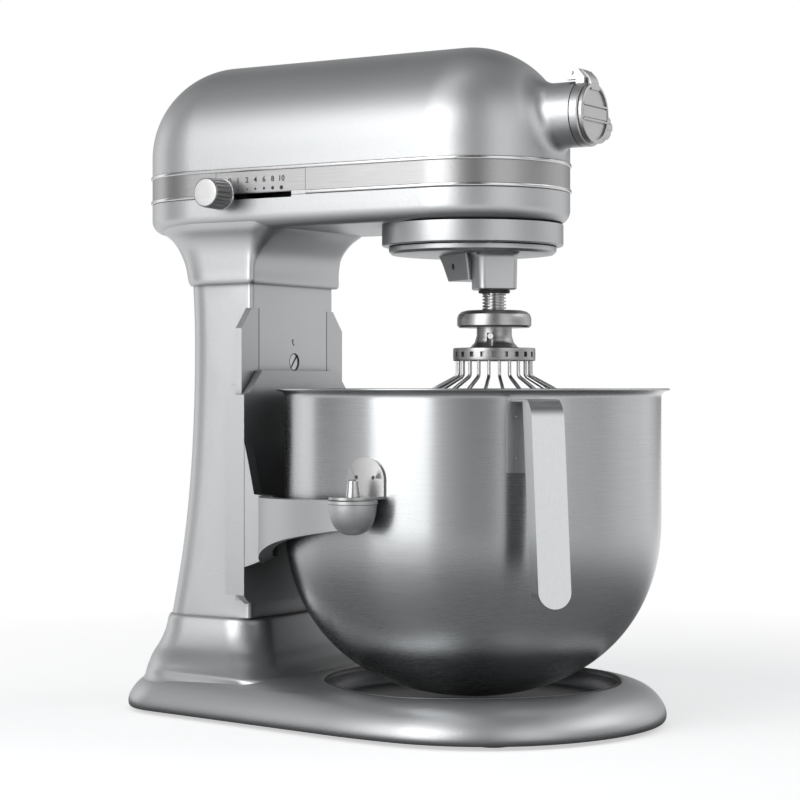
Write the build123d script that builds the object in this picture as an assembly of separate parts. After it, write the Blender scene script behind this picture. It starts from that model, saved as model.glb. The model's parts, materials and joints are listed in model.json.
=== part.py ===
from build123d import *
import os
from math import cos, sin, tan, radians, degrees, hypot, atan2, pi, sqrt

# Bowl-lift stand mixer. Millimetres; +Z up, origin on the bowl axis at counter level.
# The attachment hub faces -Y, the speed knob is on the -X side, the lift lever on the +X side.

# ---- driving dimensions -------------------------------------------------------------------
FOOT_H = 2.5                       # gap under the base casting, filled by the rubber feet
BASE_NOSE_Y, BASE_NOSE_R, BASE_SHOULDER_R = -120.0, 128.0, 101.0
BASE_HALF_W, BASE_REAR_Y, BASE_REAR_R = 116.5, 228.0, 48.0
DISH_R, DISH_Z, RIM_Z = 92.0, 13.5, 26.7
PED_Z = 61.0                       # top of the pedestal, where the column stands

COL_W, COL_Y0, COL_Z1 = 47.5, 135.5, 275.0          # column half width, front face, top
RAIL_X0, RAIL_X1, RAIL_Y1 = 39.5, 58.75, 140.1      # slide rails standing proud of the column
RAIL_Z0, RAIL_Z1 = 73.0, 259.6

ARM_R0, ARM_R1, ARM_TOP = 125.5, 134.0, 143.8       # yoke arms round the bowl
CUP_X, CUP_Y, CUP_R = 132.0, 4.5, 14.6
SLEEVE_X0, SLEEVE_X1 = 59.2, 63.8                   # carriage side walls

BOWL_R, BOWL_LIP_Z, BOWL_FLOOR_Z, BOWL_KNEE_Z = 117.5, 208.0, 17.0, 128.0
BOWL_WALL = 1.4
HANDLE_AZ = 225.0

HEAD_R, HEAD_Z, HEAD_Y1 = 61.0, 360.0, 175.0        # capsule: two spheres 175 apart
BAND_Z0, BAND_Z1 = 329.5, 348.0
LOWER_Z0 = 310.0
KNOB_X, KNOB_Y, KNOB_Z, KNOB_TRAVEL = -70.0, 144.0, 331.0, 45.0

MODULE, RING_T, PINION_T = 1.55, 58, 18
ORBIT = MODULE * (RING_T - PINION_T) / 2            # 31.0, beater shaft from the bowl axis
ORBIT_AZ = 234.97
BEATER_X, BEATER_Y = ORBIT * cos(radians(ORBIT_AZ)), ORBIT * sin(radians(ORBIT_AZ))
SHAFT_R = 6.0

HUB_Z, HUB_FACE_Y, HUB_R = 375.0, -83.0, 20.0
HINGE_Y, HINGE_Z = -74.0, 399.5

os.makedirs("parts", exist_ok=True)


# ---- small helpers ------------------------------------------------------------------------
def rod(r, z0, z1, x=0.0, y=0.0):
    """Upright round bar."""
    return Pos(x, y, (z0 + z1) / 2) * Cylinder(r, z1 - z0)


def ring(r1, r0, z0, z1, x=0.0, y=0.0):
    """Upright tube, outer radius first."""
    return rod(r1, z0, z1, x, y) - rod(r0, z0 - 1, z1 + 1, x, y)


def block(x0, x1, y0, y1, z0, z1):
    """Rectangular block between two corners."""
    return Pos((x0 + x1) / 2, (y0 + y1) / 2, (z0 + z1) / 2) * Box(x1 - x0, y1 - y0, z1 - z0)


def bar(r, a, b):
    """Round bar from point a to point b."""
    a, b = Vector(*a), Vector(*b)
    run = b - a
    return Plane(origin=a + run * 0.5, z_dir=run) * Cylinder(r, run.length)


def lathe(points, x=0.0, y=0.0):
    """Solid of revolution about a vertical axis from (radius, z) points."""
    face = make_face(Plane.XZ * Polyline(*points, close=True))
    return Pos(x, y, 0) * revolve(face, Axis.Z)


def slab(face, z0, z1):
    """Flat outline drawn on XY, raised from z0 to z1."""
    return Pos(0, 0, z0) * extrude(face, amount=z1 - z0, dir=(0, 0, 1))


def rounded(x0, x1, y0, y1, r):
    """Rounded rectangle as a face on XY."""
    return Pos((x0 + x1) / 2, (y0 + y1) / 2) * RectangleRounded(x1 - x0, y1 - y0, r)


def side_plate(points, x0, x1):
    """Outline in (Y, Z), raised along X from x0 to x1."""
    face = make_face(Plane.YZ * Polyline(*points, close=True))
    return Pos(x0, 0, 0) * extrude(face, amount=x1 - x0, dir=(1, 0, 0))


def front_plate(points, y0, y1):
    """Outline in (X, Z), raised along +Y from y0 to y1."""
    face = make_face(Plane.XZ * Polyline(*points, close=True))
    return Pos(0, y0, 0) * extrude(face, amount=y1 - y0, dir=(0, 1, 0))


def save(name, *solids):
    """Write one node as its separate solids."""
    found = [part for item in solids for part in item.solids()]
    export_step(found[0] if len(found) == 1 else Compound(found), f"parts/{name}.step")


# ---- base ---------------------------------------------------------------------------------
def base_outline(inset=0.0):
    """Plan of the base: broad round nose, sides drawing in to a rounded rear."""
    nose = JernArc((0, BASE_NOSE_Y), (1, 0), BASE_NOSE_R, 35)
    shoulder = JernArc(nose @ 1, nose % 1, BASE_SHOULDER_R, 55)
    flank = JernArc(shoulder @ 1, shoulder % 1, 321, 9.3)
    rear = JernArc((40.3, BASE_REAR_Y), (1, 0), BASE_REAR_R, -80.7)
    side = Line(flank @ 1, rear @ 1)
    half = [nose, shoulder, flank, side, rear]
    other = [mirror(e, Plane.YZ) for e in half]
    back = Line((-40.3, BASE_REAR_Y), (40.3, BASE_REAR_Y))
    face = make_face(half + other + [back])
    return offset(face, amount=-inset) if inset else face


def pedestal_section(z, front_w, front_y, rear_w, rear_y, front_r, rear_r):
    """Rounded trapezium of the flared pedestal at height z."""
    outline = Polyline((-front_w, front_y), (front_w, front_y), (rear_w, rear_y), (-rear_w, rear_y),
                       close=True)
    face = make_face(outline)
    corners = face.vertices().sort_by(Axis.Y)
    face = fillet(corners[:2], front_r)
    face = fillet(face.vertices().sort_by(Axis.Y)[-2:], rear_r)
    return Pos(0, 0, z) * face


def base_casting():
    """Cast foot: rolled rim, dished seat under the bowl, flared pedestal, ribbed underside."""
    rim = [(0.8, FOOT_H), (0.0, 4.6), (0.5, 8.5), (3.4, 14.0), (8.6, 19.4), (15.5, 23.2),
           (22.5, 25.4), (29.0, 26.6), (37.0, 27.0)]
    body = loft([Pos(0, 0, z) * base_outline(i) for i, z in rim], ruled=True)
    body = body - block(-150, 150, -150, 250, RIM_Z, 40)
    stack = [(6.0, 98, 88, 76, 222.5, 20, 43), (13.5, 101.5, 89, 80.0, 226.6, 20, 46.5),
             (20.0, 96.0, 96, 79.6, 226.2, 21, 45), (27.2, 84.5, 106, 76, 223, 22, 42),
             (35.5, 70.5, 116, 65, 217.5, 22, 34), (45.0, 61.0, 123.5, 58.5, 213, 22, 29),
             (54.6, 56.0, 128.2, 55, 210.8, 22, 27), (59.2, 54.6, 130, 54, 210, 22, 26),
             (60.6, 53.6, 130.9, 53, 209, 21, 25), (PED_Z, 52.2, 132.2, 51.6, 207.8, 20, 24)]
    pedestal = loft([pedestal_section(*s) for s in stack], ruled=True)
    body = body + pedestal
    dish = lathe([(0, DISH_Z), (DISH_R - 7, DISH_Z), (DISH_R - 3, DISH_Z + 1.3), (DISH_R - 0.8, DISH_Z + 4.5),
                  (DISH_R, DISH_Z + 9), (DISH_R + 1.2, 40), (0, 40)])
    body = body - dish
    # hollow underside: shallow under the dish, deep under the pedestal
    shallow = slab(offset(base_outline(), amount=-9), 0, 8.5) - slab(rounded(-140, 140, 96, 260, 5), -1, 20)
    deep = loft([Pos(0, 0, 0) * rounded(-72, 72, 104, 216, 30), Pos(0, 0, 22) * rounded(-66, 66, 112, 212, 28),
                 Pos(0, 0, 48) * rounded(-42, 42, 140, 199, 18)])
    pocket = shallow + deep
    for angle in (0, 60, 120):
        pocket = pocket - Rot(0, 0, angle) * block(-140, 140, -2, 2, -1, 30)
    for x in (-20, 20):
        pocket = pocket - block(x - 2, x + 2, 90, 230, -1, 60)
    for x, y in FOOT_POINTS:
        pocket = pocket - rod(13, -1, 60, x, y)
    for x, y in COLUMN_BOLTS:
        pocket = pocket - rod(8.5, -1, 60, x, y)
    body = body - pocket
    for x, y in FOOT_POINTS:                       # seats that take the feet's plugs
        body = body - rod(9.0, FOOT_H - 1, FOOT_H + 2.5, x, y)
    for x, y in COLUMN_BOLTS:                      # clearance holes with counterbored heads
        body = body - rod(3.2, -1, PED_Z + 1, x, y) - rod(6.5, -1, 44, x, y)
    return body.solids().sort_by(SortBy.VOLUME)[-1]


FOOT_POINTS = [(0, 0), (-78, -58), (78, -58), (-62, 182), (62, 182)]
COLUMN_BOLTS = [(-30, 146), (30, 146), (-30, 182), (30, 182)]


def rubber_feet():
    """Five pads plugged into the underside; the middle one lies under the bowl axis."""
    feet = []
    for x, y in FOOT_POINTS:
        pad = fillet(rod(11.5, 0, FOOT_H, x, y).edges().sort_by(Axis.Z)[0], 0.8)
        feet.append(pad + rod(8.7, FOOT_H, FOOT_H + 2.0, x, y))
    return feet


def column_bolts():
    """Socket screws up through the pedestal into the column's foot."""
    out = []
    for x, y in COLUMN_BOLTS:
        head = rod(5.0, 38, 44, x, y) - Pos(x, y, 38) * extrude(RegularPolygon(2.6, 6), 3)
        out.append(head + rod(2.95, 44, PED_Z + 9.5, x, y))
    return out


# ---- column and lift ----------------------------------------------------------------------
COLUMN_SECTIONS = [(PED_Z, 49.5, 207.5), (85, 48.3, 203.2), (118, 47.6, 198.0), (150, COL_W, 194.3),
                   (190, COL_W, 191.6), (235, COL_W, 190.6), (COL_Z1, COL_W, 192.0)]
LIFT_Y, LIFT_Z, CRANK_R, GRIP_X = 158.0, 165.0, 24.0, 58.0
SLOT_X0, SLOT_X1 = -26.0, -11.0                     # opening in the column for the carriage lug
SCREW_X, SCREW_Z = 1.0, 225.4
RAIL_SCREW_Z = (92.0, 148.0, 204.0)


def column_face(half_w, front, rear):
    """Column outline with 3 mm front corners and 20 mm rear corners."""
    face = make_face(Polyline((-half_w, front), (half_w, front), (half_w, rear), (-half_w, rear), close=True))
    face = fillet(face.vertices().sort_by(Axis.Y)[:2], 3)
    return fillet(face.vertices().sort_by(Axis.Y)[-2:], 20)


def column():
    """Hollow column casting with a solid foot, rail rebates, lift bore and front openings."""
    outer = loft([Pos(0, 0, z) * column_face(w, COL_Y0, y) for z, w, y in COLUMN_SECTIONS])
    inner = loft([Pos(0, 0, z) * column_face(w - 5, COL_Y0 + 5, y - 5) for z, w, y in COLUMN_SECTIONS[1:]])
    body = outer - inner
    body = body + block(-SCREW_BOSS, SCREW_BOSS, COL_Y0 + 2, COL_Y0 + 20, SCREW_Z - 9, SCREW_Z + 9)
    body = body + bar(11, (COL_W - 10, LIFT_Y, LIFT_Z), (COL_W + 0.5, LIFT_Y, LIFT_Z))
    for side in (-1, 1):                            # rebates the rails are let into
        body = body - block(min(side * RAIL_X0, side * 60), max(side * RAIL_X0, side * 60),
                            COL_Y0 - 1, RAIL_Y1, RAIL_Z0, RAIL_Z1)
        for z in RAIL_SCREW_Z:
            body = body + block(side * 43 - 5, side * 43 + 5, RAIL_Y1, RAIL_Y1 + 12, z - 6, z + 6)
            body = body - bar(1.55, (side * 43, RAIL_Y1 - 1, z), (side * 43, RAIL_Y1 + 10, z))
    body = body - block(SLOT_X0, SLOT_X1, COL_Y0 - 1, COL_Y0 + 8, 142, 204)
    body = body - bar(SHAFT_LIFT_R + 0.05, (20, LIFT_Y, LIFT_Z), (70, LIFT_Y, LIFT_Z))
    body = body - bar(5.55, (SCREW_X, COL_Y0 - 1, SCREW_Z), (SCREW_X, COL_Y0 + 5, SCREW_Z))
    body = body - bar(3.05, (SCREW_X, COL_Y0, SCREW_Z), (SCREW_X, COL_Y0 + 30, SCREW_Z))
    for x, y in COLUMN_BOLTS:
        body = body - rod(3.0, PED_Z - 1, PED_Z + 11, x, y)
    for x, y in NECK_BOLTS:
        boss = rod(8, COL_Z1 - 16, COL_Z1, x, y)
        body = body + boss - rod(3.0, COL_Z1 - 14, COL_Z1 + 1, x, y)
    return body.solids().sort_by(SortBy.VOLUME)[-1]


SCREW_BOSS = 9.0
SHAFT_LIFT_R = 6.0
NECK_BOLTS = [(-34, 152), (34, 152), (-34, 176), (34, 176)]


def slide_rail(side):
    """Flat bar let into the column's front corner, with a slanting top and screw seats."""
    a, b = (RAIL_X0, RAIL_X1) if side > 0 else (-RAIL_X1, -RAIL_X0)
    rail = block(a, b, COL_Y0, RAIL_Y1, RAIL_Z0, RAIL_Z1)
    tip = front_plate([(side * 46.5, RAIL_Z1 + 1), (side * 60, RAIL_Z1 + 1), (side * 60, 245)],
                      COL_Y0 - 1, RAIL_Y1 + 1)
    rail = rail - tip
    for z in RAIL_SCREW_Z:
        rail = rail - bar(1.6, (side * 43, COL_Y0 - 1, z), (side * 43, RAIL_Y1 + 1, z))
        rail = rail - bar(3.1, (side * 43, COL_Y0 - 1, z), (side * 43, COL_Y0 + 1.8, z))
    return rail


def rail_screws():
    """Small cap screws, heads sunk flush in the rails."""
    out = []
    for side in (-1, 1):
        for z in RAIL_SCREW_Z:
            head = bar(3.0, (side * 43, COL_Y0 + 0.1, z), (side * 43, COL_Y0 + 1.8, z))
            out.append(head + bar(1.5, (side * 43, COL_Y0 + 1, z), (side * 43, RAIL_Y1 + 9, z)))
    return out


def adjusting_screw():
    """Slotted bowl-height screw in the column front."""
    body = bar(5.4, (SCREW_X, COL_Y0 + 0.6, SCREW_Z), (SCREW_X, COL_Y0 + 4.8, SCREW_Z))
    body = body + bar(3.0, (SCREW_X, COL_Y0 + 4, SCREW_Z), (SCREW_X, COL_Y0 + 26, SCREW_Z))
    slot = Rot(0, 40, 0) * Box(1.6, 2.4, 14)
    return body - Pos(SCREW_X, COL_Y0 + 0.6, SCREW_Z) * slot


def lift_shaft():
    """Cross shaft of the bowl lift, with a flat for the lever and a groove at its inner end."""
    return bar(SHAFT_LIFT_R, (-7, LIFT_Y, LIFT_Z), (61, LIFT_Y, LIFT_Z))


def lift_crank():
    """Crank arm on the shaft's inner end, with the pin that raises the carriage."""
    reach = CRANK_R / sqrt(2)
    hub = bar(10, (-13, LIFT_Y, LIFT_Z), (-7.0, LIFT_Y, LIFT_Z))
    web = Pos(-10, LIFT_Y, LIFT_Z) * (Rot(-45, 0, 0) * Pos(0, CRANK_R / 2, 0) * Box(6, CRANK_R, 11))
    tip = bar(5.5, (-13, LIFT_Y + reach, LIFT_Z - reach), (-7, LIFT_Y + reach, LIFT_Z - reach))
    pin = bar(3, (-24, LIFT_Y + reach, LIFT_Z - reach), (-12, LIFT_Y + reach, LIFT_Z - reach))
    return hub + web + tip + pin


def lift_lever():
    """Hand lever: boss on the shaft, tapering arm running back to the grip."""
    boss = bar(11, (49.0, LIFT_Y, LIFT_Z), (57.5, LIFT_Y, LIFT_Z))
    arm = loft([Plane((53, LIFT_Y + 2, LIFT_Z), (1, 0, 0), (0, 1, 0)) * RectangleRounded(7, 15, 2),
                Plane((GRIP_X, LIFT_Y + 58, LIFT_Z), (1, 0, 0), (0, 1, 0)) * RectangleRounded(6, 8, 2)])
    body = boss + arm
    body = body + bar(2.9, (GRIP_X, LIFT_Y + 52, LIFT_Z), (GRIP_X, LIFT_Y + 70, LIFT_Z))
    return body - bar(SHAFT_LIFT_R, (48, LIFT_Y, LIFT_Z), (58, LIFT_Y, LIFT_Z))


def lift_grip():
    """Egg-shaped grip pushed on the end of the lever."""
    y0 = LIFT_Y + 58.1
    points = [(0, 0), (4.6, 0), (6.8, 4), (8.3, 9), (8.6, 13), (7.6, 17), (5, 19.6), (0, 20.6)]
    face = make_face(Polyline(points[0], points[1]) + Spline(*points[1:]) + Line(points[-1], points[0]))
    grip = revolve(Plane.XZ * face, Axis.Z)
    grip = Pos(GRIP_X, y0, LIFT_Z) * (Rot(-90, 0, 0) * grip)
    return grip - bar(2.95, (GRIP_X, y0 - 1, LIFT_Z), (GRIP_X, LIFT_Y + 70, LIFT_Z))


def lever_cap():
    """Domed end cap that retains the lever on the shaft."""
    cap = bar(9, (61.0, LIFT_Y, LIFT_Z), (63.2, LIFT_Y, LIFT_Z))
    cap = fillet(cap.edges().sort_by(Axis.X)[-1], 1.4)
    collar = bar(9, (57.5, LIFT_Y, LIFT_Z), (61.0, LIFT_Y, LIFT_Z))
    return cap + collar - bar(SHAFT_LIFT_R, (57, LIFT_Y, LIFT_Z), (61, LIFT_Y, LIFT_Z))


# ---- carriage -----------------------------------------------------------------------------
PLATE_Y0, PLATE_Y1 = 130.0, 135.1


def carriage():
    """Yoke: front plate, side walls hooked behind the rails, gussets, two arms and their cups."""
    w = SLEEVE_X1
    half = [(43.5, 219.6), (57.5, 205.5), (w, 204), (w, 77), (w - 2, 74.5), (56, 71)]
    plate = front_plate(half + [(-x, z) for x, z in reversed(half)], PLATE_Y0, PLATE_Y1)
    body = plate
    for s in (-1, 1):
        lo, hi = sorted((s * SLEEVE_X0, s * SLEEVE_X1))
        wall = block(lo, hi, PLATE_Y0, 144.6, 77, 204)
        lo, hi = sorted((s * 49.5, s * SLEEVE_X1))
        lip = block(lo, hi, 140.7, 144.6, 77, 204)
        body = body + wall + lip + cheek(s) + cup(s)
    band = ring(ARM_R1, ARM_R0, 80, 160)
    edge = Polyline((150, 150), (-6, 150), (-6, 127), (15, 125.5)) \
        + Spline((15, 125.5), (45, 121), (77, 114.3), (110, 102.5), (126, 95)) + Line((126, 95), (150, 95)) \
        + Line((150, 95), (150, 150))
    window = extrude(Plane.YZ * make_face(edge), 150, both=True)
    top = side_plate([(-20, 143.5), (4.5, 143.5), (118, 140.3), (150, 140.3), (150, 170), (-20, 170)], -160, 160)
    arms = (band & window) - top - block(-55, 55, 50, 160, 60, 170)
    arms = arms - block(-160, 160, -200, 4.5, 60, 170)
    body = body + arms
    for s in (-1, 1):
        body = body - rod(3.0, 134, 150, s * CUP_X, CUP_Y)
    # lug through the column's slot, resting over the crank pin
    body = body + block(-22, -15, PLATE_Y1 - 1, 184.5, 152.7, 163)
    return body.solids().sort_by(SortBy.VOLUME)[-1]


def cheek(s):
    """Gusset that carries an arm off the plate, swept concavely above the arm."""
    upper = ThreePointArc((131, 178), (126.0, 157.5), (122.5, 141.2))
    under = Spline((110, 102.2), (126, 96.3), (131, 94.6))
    face = make_face(upper + Polyline((122.5, 141.2), (113.5, 140.2), (110, 140.2), (110, 102.2)) + under
                     + Line((131, 94.6), (131, 178)))
    lo = 55.0 if s > 0 else -63.5
    return Pos(lo, 0, 0) * extrude(Plane.YZ * face, 8.5, dir=(1, 0, 0))


def cup(s):
    """Bowl-shaped end of an arm, with a thin raised lip."""
    profile = Spline((0, 123.4), (5.5, 124.0), (10.2, 127.4), (13.0, 133.5), (14.0, 141.0))
    face = make_face(profile + Polyline((14.0, 141.0), (CUP_R, 141.4), (CUP_R, 143.2), (CUP_R - 0.5, 143.7),
                                        (0, 143.7), (0, 123.4)))
    return Pos(s * CUP_X, CUP_Y, 0) * revolve(Plane.XZ * face, Axis.Z) - rod(BOWL_R + 1.0, 100, 160)


def locating_pin(s):
    """Cone pin standing in a cup."""
    return lathe([(0, 135), (3.0, 135), (3.0, 143.7), (4.15, 143.7), (4.1, 146), (3.0, 154.6), (2.2, 155.4),
                  (0, 155.4)], s * CUP_X, CUP_Y)


def latch_clip():
    """Spring fork on the plate that takes the stud at the back of the bowl."""
    foot = block(-9, 9, 128.8, PLATE_Y0, 134, 150)
    step = block(-9, 9, 125.3, PLATE_Y0, 148.8, 150)
    fork = block(-9, 9, 125.3, 126.5, 148.8, 172)
    gap = block(-3.2, 3.2, 124, 128, 160, 175) + bar(3.2, (0, 124, 160), (0, 128, 160))
    flare = front_plate([(-3.2, 166), (3.2, 166), (6.5, 173), (-6.5, 173)], 124, 128)
    body = foot + step + fork - gap - flare
    for x in (-5, 5):
        body = body - bar(1.6, (x, 127, 141), (x, 131, 141))
    return body


def clip_screws():
    """Two small screws holding the latch clip to the plate."""
    return [bar(2.8, (x, 127.2, 141), (x, 128.8, 141)) + bar(1.6, (x, 128.8, 141), (x, PLATE_Y0, 141))
            for x in (-5, 5)]


# ---- bowl ---------------------------------------------------------------------------------
def bowl_curve(r_max, floor_z):
    """Points of the bowl's side below the knee: a superellipse from the floor's middle outwards."""
    points = []
    for i in range(13):
        a = pi / 2 * i / 12
        points.append((r_max * sin(a) ** (2 / 2.2), BOWL_KNEE_Z - (BOWL_KNEE_Z - floor_z) * cos(a) ** (2 / 2.2)))
    return points


def bowl_shell():
    """Spun steel bowl with a rolled-out lip."""
    outer = bowl_curve(BOWL_R, BOWL_FLOOR_Z)
    inner = bowl_curve(BOWL_R - BOWL_WALL, BOWL_FLOOR_Z + BOWL_WALL)
    lip = [(BOWL_R, 202.8), (118.0, 204.3), (119.8, 206.0), (122.2, 206.6), (122.9, 207.3), (122.2, BOWL_LIP_Z),
           (119.2, 207.5), (116.9, 205.6), (BOWL_R - BOWL_WALL, 203.2)]
    wall = Spline(*outer, tangents=((1, 0), (0, 1))) + Polyline(outer[-1], *lip, inner[-1]) \
        + Spline(*inner, tangents=((1, 0), (0, 1))) + Line(outer[0], inner[0])
    return revolve(Plane.XZ * make_face(wall), Axis.Z)


def side_bracket(s):
    """Arched plate welded to the bowl's side, bent out into the tab that sits on a cup."""
    arch = side_plate([(CUP_Y - 13, 143.9), (CUP_Y + 13, 143.9), (CUP_Y + 13, 155), (CUP_Y - 13, 155)], 0, 140)
    arch = (arch + bar(13, (0, CUP_Y, 155), (140, CUP_Y, 155))) - block(-1, 150, -20, 30, 140, 143.9)
    plate = ring(BOWL_R + 1.8, BOWL_R + 0.02, 140, 172) & arch
    tab = block(BOWL_R + 0.5, CUP_X + 2, CUP_Y - 13, CUP_Y + 13, 143.9, 145.4) \
        + rod(13, 143.9, 145.4, CUP_X + 2, CUP_Y) - rod(BOWL_R + 0.02, 140, 150)
    body = plate + tab - rod(4.7, 140, 150, CUP_X, CUP_Y)
    for y in (CUP_Y - 6, CUP_Y + 6):
        body = body - bar(1.3, (100, y, 156), (140, y, 156))
    return body if s > 0 else mirror(body, Plane.YZ)


HANDLE_TOP, HANDLE_FOOT = (158.0, 199.0), (173.0, 86.0)      # outer face of the grip (radius, z)


def bowl_handle():
    """Folded channel handle with a strap over the top."""
    (r1, z1), (r2, z2) = HANDLE_TOP, HANDLE_FOOT
    web = make_face(Plane.XZ * Polyline((BOWL_R + 1.9, 202), (r1 - 0.4, 202), (r2, z2), (r2 - 1.5, z2),
                                        (r1 - 1.75, 200.5), (BOWL_R + 1.9, 200.5), close=True))
    bend = web.vertices().filter_by(lambda v: r1 - 3 < v.X < r1 + 1)
    outer_v = bend.sort_by(Axis.X)[-1]
    inner_v = bend.sort_by(Axis.X)[0]
    web = fillet(outer_v, 14)
    web = fillet(web.vertices().sort_by_distance(Vertex(*inner_v.center()))[0], 12.5)
    body = extrude(web, 9.5, both=True)
    flank = make_face(Plane.XZ * Polyline((141.0, 201.2), (151.2, 201.2), (r1 - 0.1, 192), (r2 - 0.75, z2 + 2),
                                          (r2 - 2, z2), (r2 - 13.5, z2), (r2 - 16.2, z2 + 6), (143.2, 187),
                                          close=True))
    for lo in (-9.5, 8.0):
        body = body + Pos(0, lo, 0) * extrude(flank, 1.5, dir=(0, 1, 0))
    plan = slab(rounded(100, 190, -9.5, 9.5, 4), 60, 230)
    body = body & plan
    foot = bar(9.5, (100, 0, z2 + 9.5), (190, 0, z2 + 9.5)) + block(100, 190, -10, 10, z2 + 9.5, 230)
    return Rot(0, 0, HANDLE_AZ) * (body & foot)


def handle_weld_plate():
    """Curved plate under the strap, with four weld dimples."""
    strip = block(100, 130, -12, 12, 159.5, 202.0)
    plate = ring(BOWL_R + 1.85, BOWL_R + 0.02, 150, 202.0) & strip
    for y, z in ((-7.6, 168), (7.6, 168), (-7.6, 191.5), (7.6, 191.5)):
        plate = plate - bar(1.0, (BOWL_R + 0.7, y, z), (BOWL_R + 4, y, z))
    return Rot(0, 0, HANDLE_AZ) * plate


def rear_stud():
    """Headed stud on the bowl's back that drops into the latch clip."""
    pad = ring(BOWL_R + 1.6, BOWL_R + 0.02, 150, 170) & bar(9, (0, 100, 160), (0, 125, 160))
    body = pad + bar(2.5, (0, BOWL_R + 0.6, 160), (0, 128, 160)) + bar(5.5, (0, 127.3, 160), (0, 129, 160))
    return body


# ---- head casings -------------------------------------------------------------------------
WALL = 3.5


def capsule_plan(r, nose_cut=0.0):
    """Plan of the head: two half circles joined by straight sides."""
    return Pos(0, HEAD_Y1 / 2) * Rot(0, 0, 90) * SlotCenterToCenter(HEAD_Y1, 2 * r)


def dome(r, z0):
    """Upper half of the capsule, upright from z0 to the spheres' centre height and round above."""
    section = Line((-r, z0), (r, z0)) + Line((r, z0), (r, HEAD_Z)) \
        + ThreePointArc((r, HEAD_Z), (0, HEAD_Z + r), (-r, HEAD_Z)) + Line((-r, HEAD_Z), (-r, z0))
    middle = extrude(Plane.XZ * make_face(section), HEAD_Y1, dir=(0, 1, 0))
    quarter = Line((0, z0), (r, z0)) + Line((r, z0), (r, HEAD_Z)) \
        + ThreePointArc((r, HEAD_Z), (r * cos(pi / 4), HEAD_Z + r * sin(pi / 4)), (0, HEAD_Z + r)) \
        + Line((0, HEAD_Z + r), (0, z0))
    ball = revolve(Plane.XZ * make_face(quarter), Axis.Z)
    return middle + ball + Pos(0, HEAD_Y1, 0) * ball


def upper_casing():
    """Top shell with the hub barrel growing out of its nose."""
    outer = dome(HEAD_R, BAND_Z1)
    barrel = bar(HUB_R, (0, HUB_FACE_Y + 6, HUB_Z), (0, -30, HUB_Z))
    outer = outer + barrel
    seam = [e for e in outer.edges() if abs(hypot((e @ 0.5).X, (e @ 0.5).Z - HUB_Z) - HUB_R) < 0.01
            and -70 < (e @ 0.5).Y < -40]
    outer = fillet(seam, 9)
    body = outer - dome(HEAD_R - WALL, BAND_Z1 - 1)
    body = body + bar(HUB_R, (0, HUB_FACE_Y + 6, HUB_Z), (0, -34, HUB_Z))
    body = body + bar(6, (12, THUMB_Y, THUMB_Z), (21.5, THUMB_Y, THUMB_Z))
    body = body - bar(SOCKET_R, (0, HUB_FACE_Y - 1, HUB_Z), (0, -38, HUB_Z))
    body = body - bar(11.05, (0, -40, HUB_Z), (0, -30, HUB_Z))
    body = body - bar(THUMB_R + 0.05, (10, THUMB_Y, THUMB_Z), (40, THUMB_Y, THUMB_Z))
    for x, y in CASE_SCREWS:
        post = rod(5.5, BAND_Z1, HEAD_Z + 20, x, y)
        body = body + (post & dome(HEAD_R - 1, BAND_Z1)) - rod(1.8, BAND_Z1 - 1, BAND_Z1 + 16, x, y)
    return body.solids().sort_by(SortBy.VOLUME)[-1]


CASE_SCREWS = [(-48, 30), (48, 30), (-48, 160), (48, 160)]
THUMB_R, THUMB_Y, THUMB_Z = 3.5, -70.4, 370.0
SOCKET_R = 16.4


def neck():
    """Neck flaring from the column's lip up into the lower casing."""
    rows = [(275.0, 52.0, 132.4, 193.9, 3.5, 24), (281.0, 52.0, 132.4, 195.2, 3.5, 24),
            (288.0, 52.1, 131.8, 197.3, 4, 25), (294.0, 52.4, 129.8, 200.7, 6, 27),
            (299.5, 53.2, 126.0, 205.3, 8, 31), (305.0, 55.2, 119.8, 211.2, 12, 36),
            (310.0, 58.2, 111.0, 221.0, 18, 46), (316.0, 60.0, 104.0, 231.0, 22, 56)]
    sections = []
    for z, w, y0, y1, rf, rr in rows:
        face = make_face(Polyline((-w, y0), (w, y0), (w, y1), (-w, y1), close=True))
        face = fillet(face.vertices().sort_by(Axis.Y)[:2], rf)
        sections.append(Pos(0, 0, z) * fillet(face.vertices().sort_by(Axis.Y)[-2:], rr))
    return loft(sections)


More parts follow.
